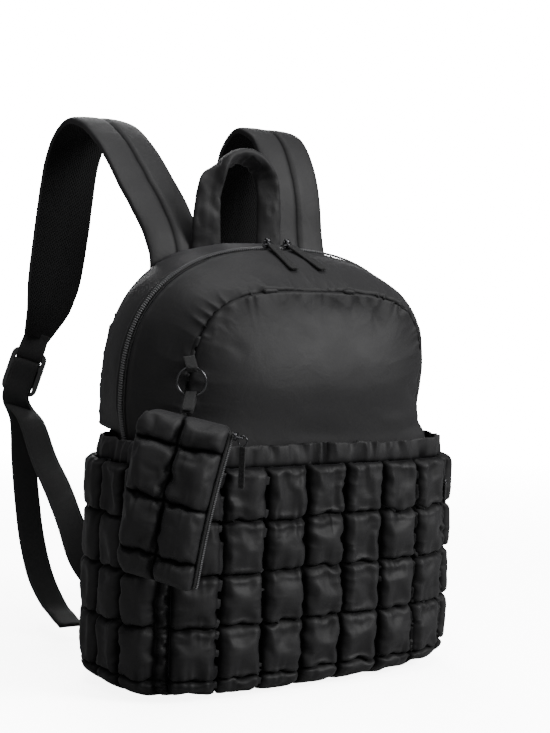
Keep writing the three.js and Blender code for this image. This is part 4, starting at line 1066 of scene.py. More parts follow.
def faceGrid(key, middleY, power, top, rimPower):
    seam = seams[key]
    low = len(lowHeights)
    corner = body["archCuts"] // 4
    across = body["archCuts"] - 2 * corner
    a = np.linspace(0, 1, across + 1)
    rows = []
    for r in range(low + corner + 1):
        left, right = seam[r], seam[-1 - r]
        point = left + (right - left) * a[:, None]
        if r < low:
            bow = np.abs(2 * a - 1) ** power
            point[:, 1] = mix(middleY(left[2]), left[1], bow)
        else:
            b = (r - low) / corner
            start, end = seam[low], seam[-1 - low]
            topRow = seam[low + corner:low + corner + across + 1]
            bottom = start + (end - start) * a[:, None]
            bend = seam[low + corner]
            x = mix(bottom[:, 0], topRow[:, 0], b) + (left[0] - mix(start[0], bend[0], b)) * (1 - 2 * a)
            z = mix(bottom[:, 2], topRow[:, 2], b) + (left[2] - mix(start[2], bend[2], b))
            rising = top - body["archCentre"]
            rim = np.abs(x / start[0]) ** rimPower + np.abs((z - body["archCentre"]) / rising) ** rimPower
            reach = np.clip(rim ** (1 / rimPower), 0, 1)
            crown = seam[low + body["archCuts"] // 2]
            seamY = mix(start[1], crown[1], smooth(0, 1, (z - body["archCentre"]) / rising))
            point = np.stack([x, mix(middleY(z), seamY, reach ** power), z], -1)
            if b == 1:
                point = topRow.copy()
        rows.append(point)
    return np.array(rows)


def frontMiddle(z):
    belly = smooth(bandTop, body["archCentre"] + 20, z) * (1 - smooth(body["archCentre"] + 30, 345, z))
    return mix(-73, -62, smooth(255, 345, z)) - body["frontBulge"] * belly


def backMiddle(z):
    return mix(75, 78, smooth(60, 200, z)) - 4 * smooth(330, 383, z)


# creases of the front panel: x and z of both ends, width, and how far the middle is lifted
creases = [
    (96, 262, 122, 247, 5.0, -1.6), (92, 226, 128, 219, 6.0, -1.8), (58, 330, 66, 306, 6.0, -1.2),
    (18, 342, 12, 318, 7.0, -1.0), (-8, 343, -12, 314, 6.0, -0.9), (36, 341, 34, 320, 5.0, -0.9),
    (-96, 300, -78, 288, 6.0, -0.9), (60, 232, 110, 228, 7.0, 1.2), (-40, 224, 30, 220, 8.0, -0.9),
]


def creaseLift(points, rows):
    lift = np.zeros(points.shape[:-1])
    for x0, z0, x1, z1, wide, deep in rows:
        a, way = np.array([x0, z0]), np.array([x1 - x0, z1 - z0])
        spot = points[..., [0, 2]] - a
        t = np.clip(spot @ way / (way @ way), 0, 1)
        far = np.linalg.norm(spot - t[..., None] * way, axis=-1)
        lift += deep * hump(far, wide) * np.sin(math.pi * np.clip(t * 0.9 + 0.05, 0, 1))
    return lift


def outOfGusset(grid):
    return (grid - [0, 0, 200]) * np.array([1, 0.0, 1.0]) * np.where(grid[..., 2:] < 240, [1, 0, 0], 1)


outOfFront, outOfBack = facing([0.0, -1.0, 0.0]), facing([0.0, 1.0, 0.0])


def nearSeamFolds(grid, key, seed, size, reach, pitch):
    far, along = seamDistance(grid, key)
    return size * fold(along / pitch, far / (reach * 3), seed) * fromSeam(far, reach, 2.2), far, along


def liftGrid(grid, lift, outward):
    return grid + gridNormals(grid, outward) * lift[..., None]


def makeFrontPanel():
    grid = refine(faceGrid("front", frontMiddle, 3.7, 345, 3.5))
    x, z = grid[..., 0], grid[..., 2]
    lift, far, _ = nearSeamFolds(grid, "front", 101, 2.4, 7, 8)
    wide, _, _ = nearSeamFolds(grid, "front", 103, 1.2, 24, 26)
    quiet = rise(far, 12)
    lift = lift + wide + creaseLift(grid, creases) * quiet
    lift += 0.9 * ripple(x / 48, z / 48, 105) * quiet
    lift += 0.2 * ripple(x / 18, z / 18, 107) * quiet
    lift -= 3.2 * hump(far, 1.7)
    lift *= smooth(205, 222, z)
    place = liftGrid(grid, lift, outOfFront)
    # painted shade in a narrow line along the seam
    piece = clothPiece("frontPanel", place, body["thick"], "satin", ["front_panel"], outOfFront,
                       shade=hump(far, 1.8))


# beside each seam: size and reach of the folds, depth of the groove, width of its painted shade
gussetSeams = {
    "front": (2.2, 8, 2.8, 1.6), "zipFront": (0.5, 6, 0.5, 1.0),
    "zipBack": (0.5, 6, 0.5, 1.0), "back": (2.2, 8, 0.5, 1.6),
}


def makeGusset(name, keys, node, swell, seed):
    grid = refine(sideGrid(*keys, body["gussetCuts"], swell))
    lift = np.zeros(grid.shape[:2])
    dark = np.zeros(grid.shape[:2])
    quiet = 1.0
    for turn, key in enumerate(keys):
        size, reach, groove, shadeWidth = gussetSeams[key]
        short, far, along = nearSeamFolds(grid, key, seed + turn, size, reach, 9)
        quiet = quiet * rise(far, 14)
        lift += short - groove * hump(far, 1.7)
        # painted shade along each seam
        dark = np.maximum(dark, hump(far, shadeWidth))
        if "zip" in key:
            # the folded edge of the cloth along the zip
            lift += 0.9 * hump(far - 3.2, 1.8)
        else:
            wide, _, _ = nearSeamFolds(grid, key, seed + 5 + turn, 1.2, 20, 27)
            lift += wide
            slant, apart = along, far
    lift += 1.1 * ripple(slant / 46 + apart / 60, apart / 30, seed + 8) * quiet
    lift += 0.4 * ripple(slant / 17, apart / 22, seed + 9) * quiet
    lift *= smooth(200, 220, grid[..., 2])
    place = liftGrid(grid, lift, outOfGusset)
    piece = clothPiece(name, place, body["thick"], "satin", [node], outOfGusset, shade=dark)


def makeBackPanel():
    grid = faceGrid("back", backMiddle, 6, 383, 2.4)
    far, _ = seamDistance(grid, "back")
    x, z = grid[..., 0], grid[..., 2]
    # sewn channels of the padded back: one down the middle and two slanting ones
    channel = np.minimum(np.abs(x), np.abs(np.abs(x) - 62 - (z - 200) * 0.06))
    lift = -1.6 * hump(channel, 3.2) * rise(far, 5) - 0.3 * hump(far, 2.5)
    lift += 0.35 * ripple(x / 24, z / 24, 163)
    lift *= smooth(24, 40, z)
    place = liftGrid(grid, lift, outOfBack)
    flat = np.stack([x, z], -1)
    piece = clothPiece("backPanel", place, body["backThick"], "spacer", ["back_panel"], outOfBack, flat)


makeFrontPanel()
makeGusset("gussetFront", ("front", "zipFront"), "gusset_front",
           lambda z: body["swellFront"] * smooth(bandTop, 285, z), 121)
makeGusset("gussetBack", ("zipBack", "back"), "gusset_back",
           lambda z: body["swellBack"] * smooth(bandTop, 265, z), 141)
makeBackPanel()
print("body panels made")

# main zip: tape, coil and its two sliders
zipper = {"tape": 0.9, "tooth": 2.1, "coilWide": 5.6, "coilHigh": 2.4, "coilLift": 1.4, "start": 45}


def zipRows():
    first, second = seams["zipFront"], seams["zipBack"]
    keep = slice(zipper["start"], len(first) - zipper["start"])
    return first[keep], second[keep]


def zipNormals(first, second):
    along = unit(np.gradient((first + second) / 2, axis=0))
    return unit(np.cross(unit(second - first), along))


def makeZipTape():
    first, second = zipRows()
    normal = zipNormals(first, second)
    outward = np.sign(np.sum(normal * ((first + second) / 2 - [0, 0, 200]), axis=1, keepdims=True))
    normal = normal * outward
    # share of the way across the tape, and height above the seams
    profile = ((0.02, 0.15), (0.1, 0.1), (0.2, -0.1), (0.3, -0.25), (0.4, -0.3), (0.5, -0.3),
               (0.6, -0.3), (0.7, -0.25), (0.8, -0.1), (0.9, 0.1), (0.98, 0.15))
    grid = np.array([first + (second - first) * share + normal * lift for share, lift in profile])
    clothPiece("zipTape", grid, zipper["tape"], "zipTape", ["main_zip"], facing(normal))
    return first, second, normal


def teethAlong(name, middle, across, normal, pitch, wide, high, look, lift):
    # one small rounded bar for each turn of the coil
    length = lengthAlong(middle)
    count = int(length[-1] / pitch)
    spots = (np.arange(count) + 0.5) * pitch
    at = lambda rows: np.stack([np.interp(spots, length, rows[:, k]) for k in range(3)], -1)
    centre, side, up = at(middle), unit(at(across)), unit(at(normal))
    along = unit(np.cross(side, up))
    # section round the bar, and stations along it
    angle = np.arange(6) * math.pi / 3
    section = np.stack([np.cos(angle) * pitch * 0.40, np.sin(angle) * high * 0.5], -1)
    stations = np.array([-0.5, -0.42, -0.2, 0, 0.2, 0.42, 0.5])
    fat = np.array([0.35, 0.85, 1, 0.82, 1, 0.85, 0.35])
    slant = 0.22 * pitch
    local = []
    for t, share in zip(stations, fat):
        for a, h in section:
            crown = high * 0.25 * (1 - (2 * t) ** 2)
            local.append((t * wide, a * share + np.sign(t) * slant * abs(t) * 2, h * share + crown))
    local = np.array(local)
    points = (
        centre[:, None, :] + lift * up[:, None, :]
        + local[None, :, 0, None] * side[:, None, :]
        + local[None, :, 1, None] * along[:, None, :]
        + local[None, :, 2, None] * up[:, None, :]
    )
    each = len(local)
    index = np.arange(each).reshape(len(stations), 6)
    here, after = index[:-1], index[1:]
    quads = np.stack([here, np.roll(here, -1, 1), np.roll(after, -1, 1), after], -1).reshape(-1, 4)
    far = each - 6
    caps = [[5, 4, 3, 0], [3, 2, 1, 0], [far, far + 1, far + 2, far + 3], [far, far + 3, far + 4, far + 5]]
    one = np.concatenate([quads, np.array(caps)])
    allQuads = (one[None] + (np.arange(count) * each)[:, None, None]).reshape(-1, 4)
    return makePiece(name, points.reshape(-1, 3), allQuads, look)


zipFirst, zipSecond, zipNormal = makeZipTape()
zipMiddle = (zipFirst + zipSecond) / 2
teethAlong("zipCoil", zipMiddle, zipSecond - zipFirst, zipNormal, zipper["tooth"], zipper["coilWide"],
           zipper["coilHigh"], "coil", zipper["coilLift"])
print("main zip made")

slider = {
    "length": 11, "width": 8, "height": 3.2, "bail": 6.2, "bailHalf": 3.6, "bailCorner": 1.3, "wire": 0.8,
}


def axesAt(xWay, zWay, origin):
    z = unit(zWay)
    y = unit(np.cross(z, xWay))
    return np.array([np.cross(y, z), y, z]), np.asarray(origin, float)


def placed(points, axes):
    turn, origin = axes
    return origin + np.asarray(points) @ turn


def plateRings(outline, levels):
    # stacked copies of an outline: each level is height and how far the outline is drawn in
    outline = np.asarray(outline, float)
    centre = outline.mean(0)
    reach = np.linalg.norm(outline - centre, axis=1, keepdims=True)
    rings = []
    for height, inward in levels:
        ring = centre + (outline - centre) * (1 - inward / np.maximum(reach, 0.1))
        rings.append(np.column_stack([ring, np.full(len(ring), height)]))
    return np.array(rings)


def roundedOutline(halfX, halfY, power, count=28):
    angle = turns(count)
    x = halfX * signedPower(np.cos(angle), 2 / power)
    y = halfY * signedPower(np.sin(angle), 2 / power)
    return np.stack([x, y], -1)


def makeSlider(name, axes, node, half, height, bailHigh, bailHalf, wide):
    outline = roundedOutline(half, wide / 2, 3.2)
    outline[:, 1] *= 1 - 0.28 * np.clip(outline[:, 0] / half, 0, 1) ** 2
    parts = []
    low = plateRings(outline, [(0, 0.5), (0.25, 0.15), (0.9, 0), (1.15, 0.3)])
    high = plateRings(outline, [
        (height - 1.35, 0.35), (height - 1.1, 0), (height - 0.45, 0.05), (height - 0.12, 0.5), (height, 1.5)])
    post = plateRings(roundedOutline(half * 0.45, wide * 0.2, 2.5), [(1.0, 0), (height - 1.2, 0)])
    for k, rings in enumerate((low, high, post)):
        parts.append(tubePiece(f"{name}Part{k}", placed(rings, axes), "gunmetal"))
    # the bail stands on the top plate with two round corners
    path = [(-bailHalf, 0, height - 1.2), (-bailHalf, 0, height)]
    corner = slider["bailCorner"]
    for side, start in ((-1, math.pi), (1, math.pi / 2)):
        for k in range(7):
            angle = start - k / 6 * math.pi / 2
            x = side * (bailHalf - corner) + corner * math.cos(angle)
            path.append((x, 0, bailHigh - corner + corner * math.sin(angle)))
    path += [(bailHalf, 0, height), (bailHalf, 0, height - 1.2)]
    parts.append(tubePiece(f"{name}Bail", placed(wireRings(path, slider["wire"]), axes), "gunmetal"))
    return joinPieces(name, parts, [node])


def tapeRings(width, start, end, thick, ribPitch, ribHigh, turn=0.0, tip=3.0, steps=110):
    # a flat pull with cross ribs between two smooth borders; local y runs along it
    rings = []
    angle = turns(20)
    c, s = math.cos(turn), math.sin(turn)
    for k in range(steps + 1):
        y = mix(start, end, k / steps)
        fromEnd = end - y
        narrow = 1.0
        if fromEnd <= tip:
            narrow = math.sqrt(max(1 - (1 - fromEnd / tip) ** 2, 0.02)) * 0.45 + 0.55
        fromStart = min(1.0, 0.6 + (y - start) / 4)
        x = width / 2 * narrow * fromStart * signedPower(np.cos(angle), 0.35)
        z = thick / 2 * signedPower(np.sin(angle), 0.5)
        flatPart = np.abs(x) < width * 0.36
        wave = ribHigh * 0.5
        if start + 3 < y < end - 3:
            wave = ribHigh * (0.5 + 0.5 * math.cos(2 * math.pi * y / ribPitch))
        z = z + np.sign(z) * np.where(flatPart, wave - ribHigh * 0.6, 0.08)
        if k in (0, steps):
            x, z = x * 0.75, z * 0.5
        rings.append(np.stack([c * x - s * y, s * x + c * y, z], -1))
    return np.array(rings)


def makeMainPull(name, axes, slant, node):
    # a knuckle round the bail, a link and a ribbed tape
    parts = []
    half = 2.3
    sides = 18
    angle = turns(sides)
    rings = []
    bevelled = half - 0.25
    for x, r in ((-half, 1.3), (-half, 2.05), (-bevelled, 2.3), (bevelled, 2.3), (half, 2.05), (half, 1.3)):
        rings.append(np.stack([np.full(sides, x), r * np.cos(angle), r * np.sin(angle)], -1))
    knuckle = placed(np.array(rings), axes)
    parts.append(tubePiece(name + "Knuckle", knuckle, "gunmetal", looped=True, body=name))
    link = plateRings(roundedOutline(2.3, 4.0, 4) + [0, 5.2], [(-0.6, 0.3), (-0.4, 0), (0.4, 0), (0.6, 0.3)])
    parts.append(tubePiece(name + "Link", placed(link, axes), "gunmetal", body=name))
    ribbed = tapeRings(9.5, 0, 43, 2.2, 1.9, 0.34, slant)
    ribbed = ribbed + np.array([0, 7, 0])
    parts.append(tubePiece(name + "Tape", placed(ribbed, axes), "narrowTape", body=name))
    return joinPieces(name + "Visual", parts, [node], name)


coilTop = 380.3
for number, x, slant in (("1", -16, 0.0), ("2", 5, 0.26)):
    base = np.array([x, 1.0, coilTop])
    makeSlider("mainSlider" + number, axesAt((1, 0, 0), (0, 0, 1), base), "main_slider_" + number,
               slider["length"] / 2, slider["height"], slider["bail"], slider["bailHalf"], slider["width"])
    tilt = math.radians(29)
    along = np.array([0, -math.cos(tilt), -math.sin(tilt)])
    face = np.cross((-1, 0, 0), along)
    pullAxes = (np.array([(-1, 0, 0), along, face]), base + [0, 0, slider["bail"]])
    makeMainPull("main_pull_" + number, pullAxes, slant, "main_pull_" + number)
print("sliders and pulls made")

# padded shoulder straps
strap = {
    "width": 62, "thick": 11, "narrow": 28, "cuts": 9, "sides": 112,
    "seamDepth": 0.16, "edge": 0.42, "fill": 0.6,
}
wide, narrow, thick, thin = strap["width"], strap["narrow"], strap["thick"], strap["thick"] - 4
leftPad = [
    (-63, 79.1, 344, wide - 6, thin), (-63, 79.5, 368, wide - 6, thin), (-64, 88, 389, wide - 4, thick),
    (-66, 105, 413, wide, thick), (-67, 130, 437, wide + 2, thick), (-66, 157, 460, wide, thick),
    (-65, 188, 482, wide, thick), (-64, 220, 497, wide, thick), (-65, 248, 500, wide - 2, thick),
    (-67, 270, 486, wide - 2, thick), (-71, 281, 458, wide - 2, thick), (-75, 281, 430, wide - 2, thick),
    (-81, 276, 400, wide - 2, thick), (-88, 270, 368, wide - 3, thick), (-95, 265, 338, wide - 6, thick),
    (-101, 263, 316, wide - 14, thick), (-108, 263, 297, wide - 26, thick - 2),
    (-113, 264, 284, narrow, thin),
]
rightPad = [
    (75, 79.1, 350, wide + 1, thin), (75, 79.5, 368, wide + 1, thin), (75, 86, 392, wide + 1, thick),
    (75, 92, 428, wide, thick), (73, 103, 464, wide, thick), (70, 120, 489, wide - 1, thick),
    (65, 141, 494, wide - 2, thick), (61, 156, 478, wide - 2, thick), (59, 164, 450, wide - 2, thick),
    (59, 172, 415, wide - 2, thick), (62, 180, 378, wide - 3, thick), (68, 187, 342, wide - 6, thick),
    (75, 191, 312, wide - 14, thick), (82, 192, 290, wide - 26, thick - 2), (87, 192, 276, narrow, thin),
]


def makePad(name, rows, seed, node):
    sides = strap["sides"]
    angle = turns(sides)
    s = 0.5 * signedPower(np.cos(angle), 0.72)
    h = 0.5 * signedPower(np.sin(angle), 0.62)
    outside = np.sin(angle) < strap["edge"]

    def shape(t, s, h):
        along = t * (len(rows) - 1) * 26
        groove = strap["seamDepth"] * hump(s, 0.022) + 0.03 * hump(s, 0.07)
        puckers = 0.035 * fold(along / 7.0 + 0 * s, s * 3, seed) * np.exp(-(np.abs(s) / 0.16))
        waves = 0.03 * ripple(along / 21 + 0 * s, s * 4, seed + 2)
        edge = 0.004 * ripple(along / 11 + 0 * s, np.sign(s), seed + 4) * (np.abs(s) > 0.3)
        piping = 0.03 * hump(np.sin(angle) - strap["edge"], 0.16) * np.sign(np.cos(angle))
        return s + edge + piping * 0.25, h + np.where(h < 0, groove - puckers, -0.4 * groove) + waves

    rings = sweepRings(rows, np.stack([s, h], -1), lambda t: (1, 0, 0), strap["cuts"], shape)
    faceLooks = np.where(outside & np.roll(outside, -1), 0, 1)
    flat = lambda along: np.stack([np.repeat(along, sides), np.tile(s * strap["width"], len(along))], -1)
    # painted shade along the stitched groove down the middle of the satin face
    dark = np.tile(0.9 * hump(s, 0.018) * (h < 0), len(rings))
    piece = tubePiece(name, rings, ("satin", "spacer"), [node], sectionLooks=faceLooks, flat=flat, shade=dark)


makePad("leftPad", leftPad, 201, "strap_pad_left")
makePad("rightPad", rightPad, 221, "strap_pad_right")
print("shoulder pads made")

# buckles, loops and webbing
buckle = {"height": 46, "thick": 4.4, "top": 18.5, "middle": 6.5, "bar": 5, "slack": 1.2}
web = {"width": 25, "thick": 1.6, "cuts": 6}
loopReach = math.hypot(buckle["bar"], buckle["thick"]) / 2 + web["thick"] / 2 + 0.4
halfSection = [(-0.5, -0.3), (-0.485, -0.5), (-0.3, -0.44), (-0.1, -0.44)]
lowSection = halfSection + [(-x, h) for x, h in reversed(halfSection)]
webSection = np.array(lowSection + [(-x, -h) for x, h in lowSection])


def webFlat(width):
    return lambda along: np.stack([
        np.repeat(along, len(webSection)), np.tile(webSection[:, 0] * width, len(along))], -1)


def copyOfNode(name, node, bevel, look):
    # same shape as the solid, with rounded edges
    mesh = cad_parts[node].data.copy()
    mesh.name = name
    piece = addObject(name, mesh)
    work = bmesh.new()
    work.from_mesh(mesh)
    bmesh.ops.remove_doubles(work, verts=work.verts, dist=1e-5)
    bmesh.ops.dissolve_limit(work, angle_limit=math.radians(3), verts=work.verts, edges=work.edges)
    sharp = [e for e in work.edges if len(e.link_faces) == 2 and e.calc_face_angle(0) > math.radians(32)]
    bmesh.ops.bevel(work, geom=sharp, offset=bevel, segments=3, profile=0.6, affect="EDGES",
                    clamp_overlap=True)
    bmesh.ops.triangulate(work, faces=[f for f in work.faces if len(f.verts) > 4])
    for face in work.faces:
        face.smooth = True
        face.material_index = 0
    work.to_mesh(mesh)
    work.free()
    mesh.set_sharp_from_angle(angle=math.radians(40))
    mesh.materials.clear()
    mesh.materials.append(looks[look])
    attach(piece, bodyName)
    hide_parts(node)
    return piece


def strapEnd(side, centre, upward, across, webRows, tailRows, padEnd):
    centre, padEnd = np.asarray(centre, float), np.asarray(padEnd, float)
    up = unit(upward)
    out = unit(np.cross(across, up))
    wideWay = unit(np.cross(up, out))
    at = lambda h, n: centre + up * h + out * n
    row = lambda p, t=web["thick"]: (*p, web["width"], t)

    def barTurn(height, opensUp):
        turn = []
        for k in range(5):
            angle = math.pi * k / 4
            depth = (-1 if opensUp else 1) * loopReach * math.sin(angle)
            turn.append(at(height + depth, -loopReach * math.cos(angle)))
        return turn

    copyOfNode("buckle" + side.title(), "buckle_" + side, 0.0009, "plastic")
    loop = [row(padEnd - out * 1.1 + up * 6), row(padEnd - out * 1.1), row(at(buckle["top"] + 4, -loopReach))]
    loop += [row(p) for p in barTurn(buckle["top"] - buckle["slack"], True)]
    loop += [row(at(buckle["top"] + 4, loopReach)), row(padEnd + out * 1.1), row(padEnd + out * 1.1 + up * 6)]
    rings = sweepRings(loop, webSection, lambda t: wideWay, web["cuts"])
    tubePiece("padLoop" + side.title(), rings, "webbing", ["pad_loop_" + side], flat=webFlat(web["width"]))
    below = -buckle["height"] / 2 - 4
    rows = [(*p, web["width"], web["thick"]) for p in reversed(webRows)]
    rows += [row(at(below, -loopReach - 1)), row(at(-8, -loopReach))]
    rows += [row(p) for p in barTurn(buckle["middle"] + buckle["slack"], False)]
    rows += [row(at(-8, loopReach)), row(at(below, loopReach + 1))]
    rows += [(*p[:3], web["width"], web["thick"] * (p[3] if len(p) > 3 else 1)) for p in tailRows]
    bagWay = np.array([-np.sign(centre[0]) * 0.6, 0, 0.79])
    first = len(webRows) / len(rows)
    acrossAt = lambda t: mix(bagWay, wideWay, float(smooth(first * 0.35, first * 0.9, t)))
    rings = sweepRings(rows, webSection, acrossAt, web["cuts"])
    tubePiece("webbing" + side.title(), rings, "webbing", ["webbing_" + side], flat=webFlat(web["width"]))


# webbing: up from the bag's corner to the buckle, then the tail; a fourth number thickens its hem
strapEnd("left", (-124, 266, 250), (0.32, -0.02, 0.95), (0.82, -0.57, 0), [
    (-129, 236, 203), (-134, 196, 172), (-140, 150, 146), (-147, 110, 122),
    (-144, 89, 92), (-128, 79.5, 70), (-100, 73.6, 50),
], [
    (-127, 262, 203), (-126, 257, 163), (-125, 249, 123), (-124, 238, 86), (-123, 218, 52),
    (-122, 190, 30), (-121, 172, 22, 2.4), (-120, 156, 16, 2.4),
], (-113.2, 264.2, 283))
strapEnd("right", (97, 193, 244), (-0.28, 0, 0.96), (0.9, 0.43, 0), [
    (108, 180, 200), (122, 160, 172), (135, 135, 146), (145, 110, 122),
    (144, 89, 92), (128, 79.5, 70), (100, 73.6, 50),
], [
    (101, 196, 200), (104, 196, 162), (106, 192, 124), (107, 186, 88), (108, 178, 58),
    (108, 172, 44, 2.4), (108, 167, 32, 2.4),
], (87.2, 192, 275))
print("buckles and webbing made")

# grab handle: a folded satin strip standing on the top seam
handle = {"cuts": 10, "sides": 40, "fill": 0.35}
handleRows = [
    (-35, 73, 376, 28, 7), (-36, 73, 405, 28, 7.5), (-34, 74, 428, 25, 8), (-26, 75, 449, 25, 8.5),
    (-9, 76, 463, 25, 9), (9, 77, 466, 25, 9), (24, 76, 457, 25, 8.5), (32, 75, 438, 25, 8),
    (34, 74, 410, 25, 7.5), (33, 73, 376, 25, 7),
]


def makeHandle():
    angle = turns(handle["sides"])
    s = 0.5 * signedPower(np.cos(angle), 0.8)
    h = 0.5 * signedPower(np.sin(angle), 0.8)

    def shape(t, s, h):
        along = t * 260
        slit = -0.40 * hump(s - 0.06, 0.04) * (h < 0)
        crush = 0.14 * fold(along / 16 + 0 * s, s * 1.6, 241) + 0.10 * ripple(along / 8 + 0 * s, s * 3, 243)
        bend = math.sin(math.pi * t)
        pinch = 1 - 0.10 * bend
        return s * pinch + 0.012 * ripple(along / 12 + 0 * s, 3, 245), h * (1 + 0.08 * bend) - slit + crush

    def across(t):
        share = float(smooth(0.2, 0.45, t) * smooth(0.15, 0.42, 1 - t))
        return mix(np.array([1, -0.25, 0]), np.array([0.15, -0.85, 0.5]), share)

    rings = sweepRings(handleRows, np.stack([s, h], -1), across, handle["cuts"], shape)
    piece = tubePiece("grabHandle", rings, "satin", ["grab_handle"])


makeHandle()
print("handle made")

# ring, its tab and the pouch that hangs from it
ring = {"centre": (-128.5, -60.5, 266.5), "radius": 12, "wire": 1.5, "slim": 0.76}
towardFront = unit((-0.57, -0.82, 0))
acrossFront = unit((0.82, -0.57, 0))
upWay = np.array([0.0, 0, 1])
ringCentre = np.array(ring["centre"])


def makeRing():
    angle = turns(72)
    circle = np.outer(np.cos(angle), acrossFront) + np.outer(np.sin(angle), upWay)
    path = ringCentre + ring["radius"] * circle
    rings = wireRings(path, ring["wire"], 16, True)
    # the spring gate: two fine grooves and a slightly slimmer bar between them
    gate = (angle > 0.6) & (angle < 1.9)
    groove = np.minimum(np.abs(angle - 0.6), np.abs(angle - 1.9)) < 0.05
    scale = ring["slim"] * np.where(groove, 0.86, np.where(gate, 0.94, 1.0))
    rings = path[:, None, :] + (rings - path[:, None, :]) * scale[:, None, None]
    tubePiece("ring", rings, "gunmetal", ["ring"], looped=True)


makeRing()
tab = {"width": 9, "thick": 1.2, "turn": ring["wire"] + 2.1}


def tabLoop(name, node, wire, away, ends):
    sideWay = unit(np.cross(acrossFront, away))
    rows = [ends[0]]
    for k in range(7):
        angle = math.pi * k / 6
        rows.append(wire + sideWay * tab["turn"] * math.cos(angle) + away * tab["turn"] * math.sin(angle))
    rows.append(ends[1])
    rows = [(*p, tab["width"], tab["thick"]) for p in rows]
    rings = sweepRings(rows, webSection, lambda t: acrossFront, 6)
    tubePiece(name, rings, "narrowTape", [node], flat=webFlat(tab["width"]))


seamSpot = np.array([-126.7, -52.2, 287])
tabLoop("ringTab", "ring_tab", ringCentre + upWay * ring["radius"], -upWay,
        (seamSpot - towardFront * 0.6, seamSpot + towardFront * 1.4))

pouch = {
    "topLeft": (-167, -48.5, 247), "topRight": (-119, -109.5, 234),
    "bottomRight": (-148, -105, 102), "bottomLeft": (-188, -54, 116),
    "puff": 10.5, "rows": (0.5, 1, 1, 0.5), "cell": 2.1, "round": (17, 7), "jag": 1.6,
    "corner": 8, "thick": 1.1, "fill": 0.6, "bow": 8, "tape": 0.9,
    "sim": {**quilt["sim"], "pressure": 2.4, "cap": 6},
}
pouchFacing = unit((-0.788, -0.616, 0))
corners = {key: np.array(pouch[key], float) for key in ("topLeft", "topRight", "bottomRight", "bottomLeft")}


def roundCorner(u, v, radius, left, top):
    # draws the grid in round one corner of the pouch; distances in mm
    x = (u if left else 1 - u) * pouchWide
    z = (v if top else 1 - v) * pouchTall
    a, b = np.clip((radius - x) / radius, 0, 1), np.clip((radius - z) / radius, 0, 1)
    x = x + radius * a * (1 - np.sqrt(1 - b * b / 2))
    z = z + radius * b * (1 - np.sqrt(1 - a * a / 2))
    x, z = x / pouchWide, z / pouchTall
    return (x if left else 1 - x), (z if top else 1 - z)


pouchWide = float(np.linalg.norm(corners["topRight"] - corners["topLeft"]))
pouchTall = float(np.linalg.norm(corners["bottomLeft"] - corners["topLeft"]))


def pouchPoint(u, v, out):
    u, v, out = (np.array(a, float) for a in np.broadcast_arrays(u, v, out))
    for left in (True, False):
        for top in (True, False):
            u, v = roundCorner(u, v, pouch["round"][0 if left else 1], left, top)
    u, v, out = (a[..., None] for a in (u, v, out))
    top = mix(corners["topLeft"], corners["topRight"], u)
    bottom = mix(corners["bottomLeft"], corners["bottomRight"], u)
    return mix(top, bottom, v) + pouchFacing * (pouch["bow"] * np.sin(math.pi * v) + out)


pouchAcross = unit(corners["topRight"] - corners["topLeft"])


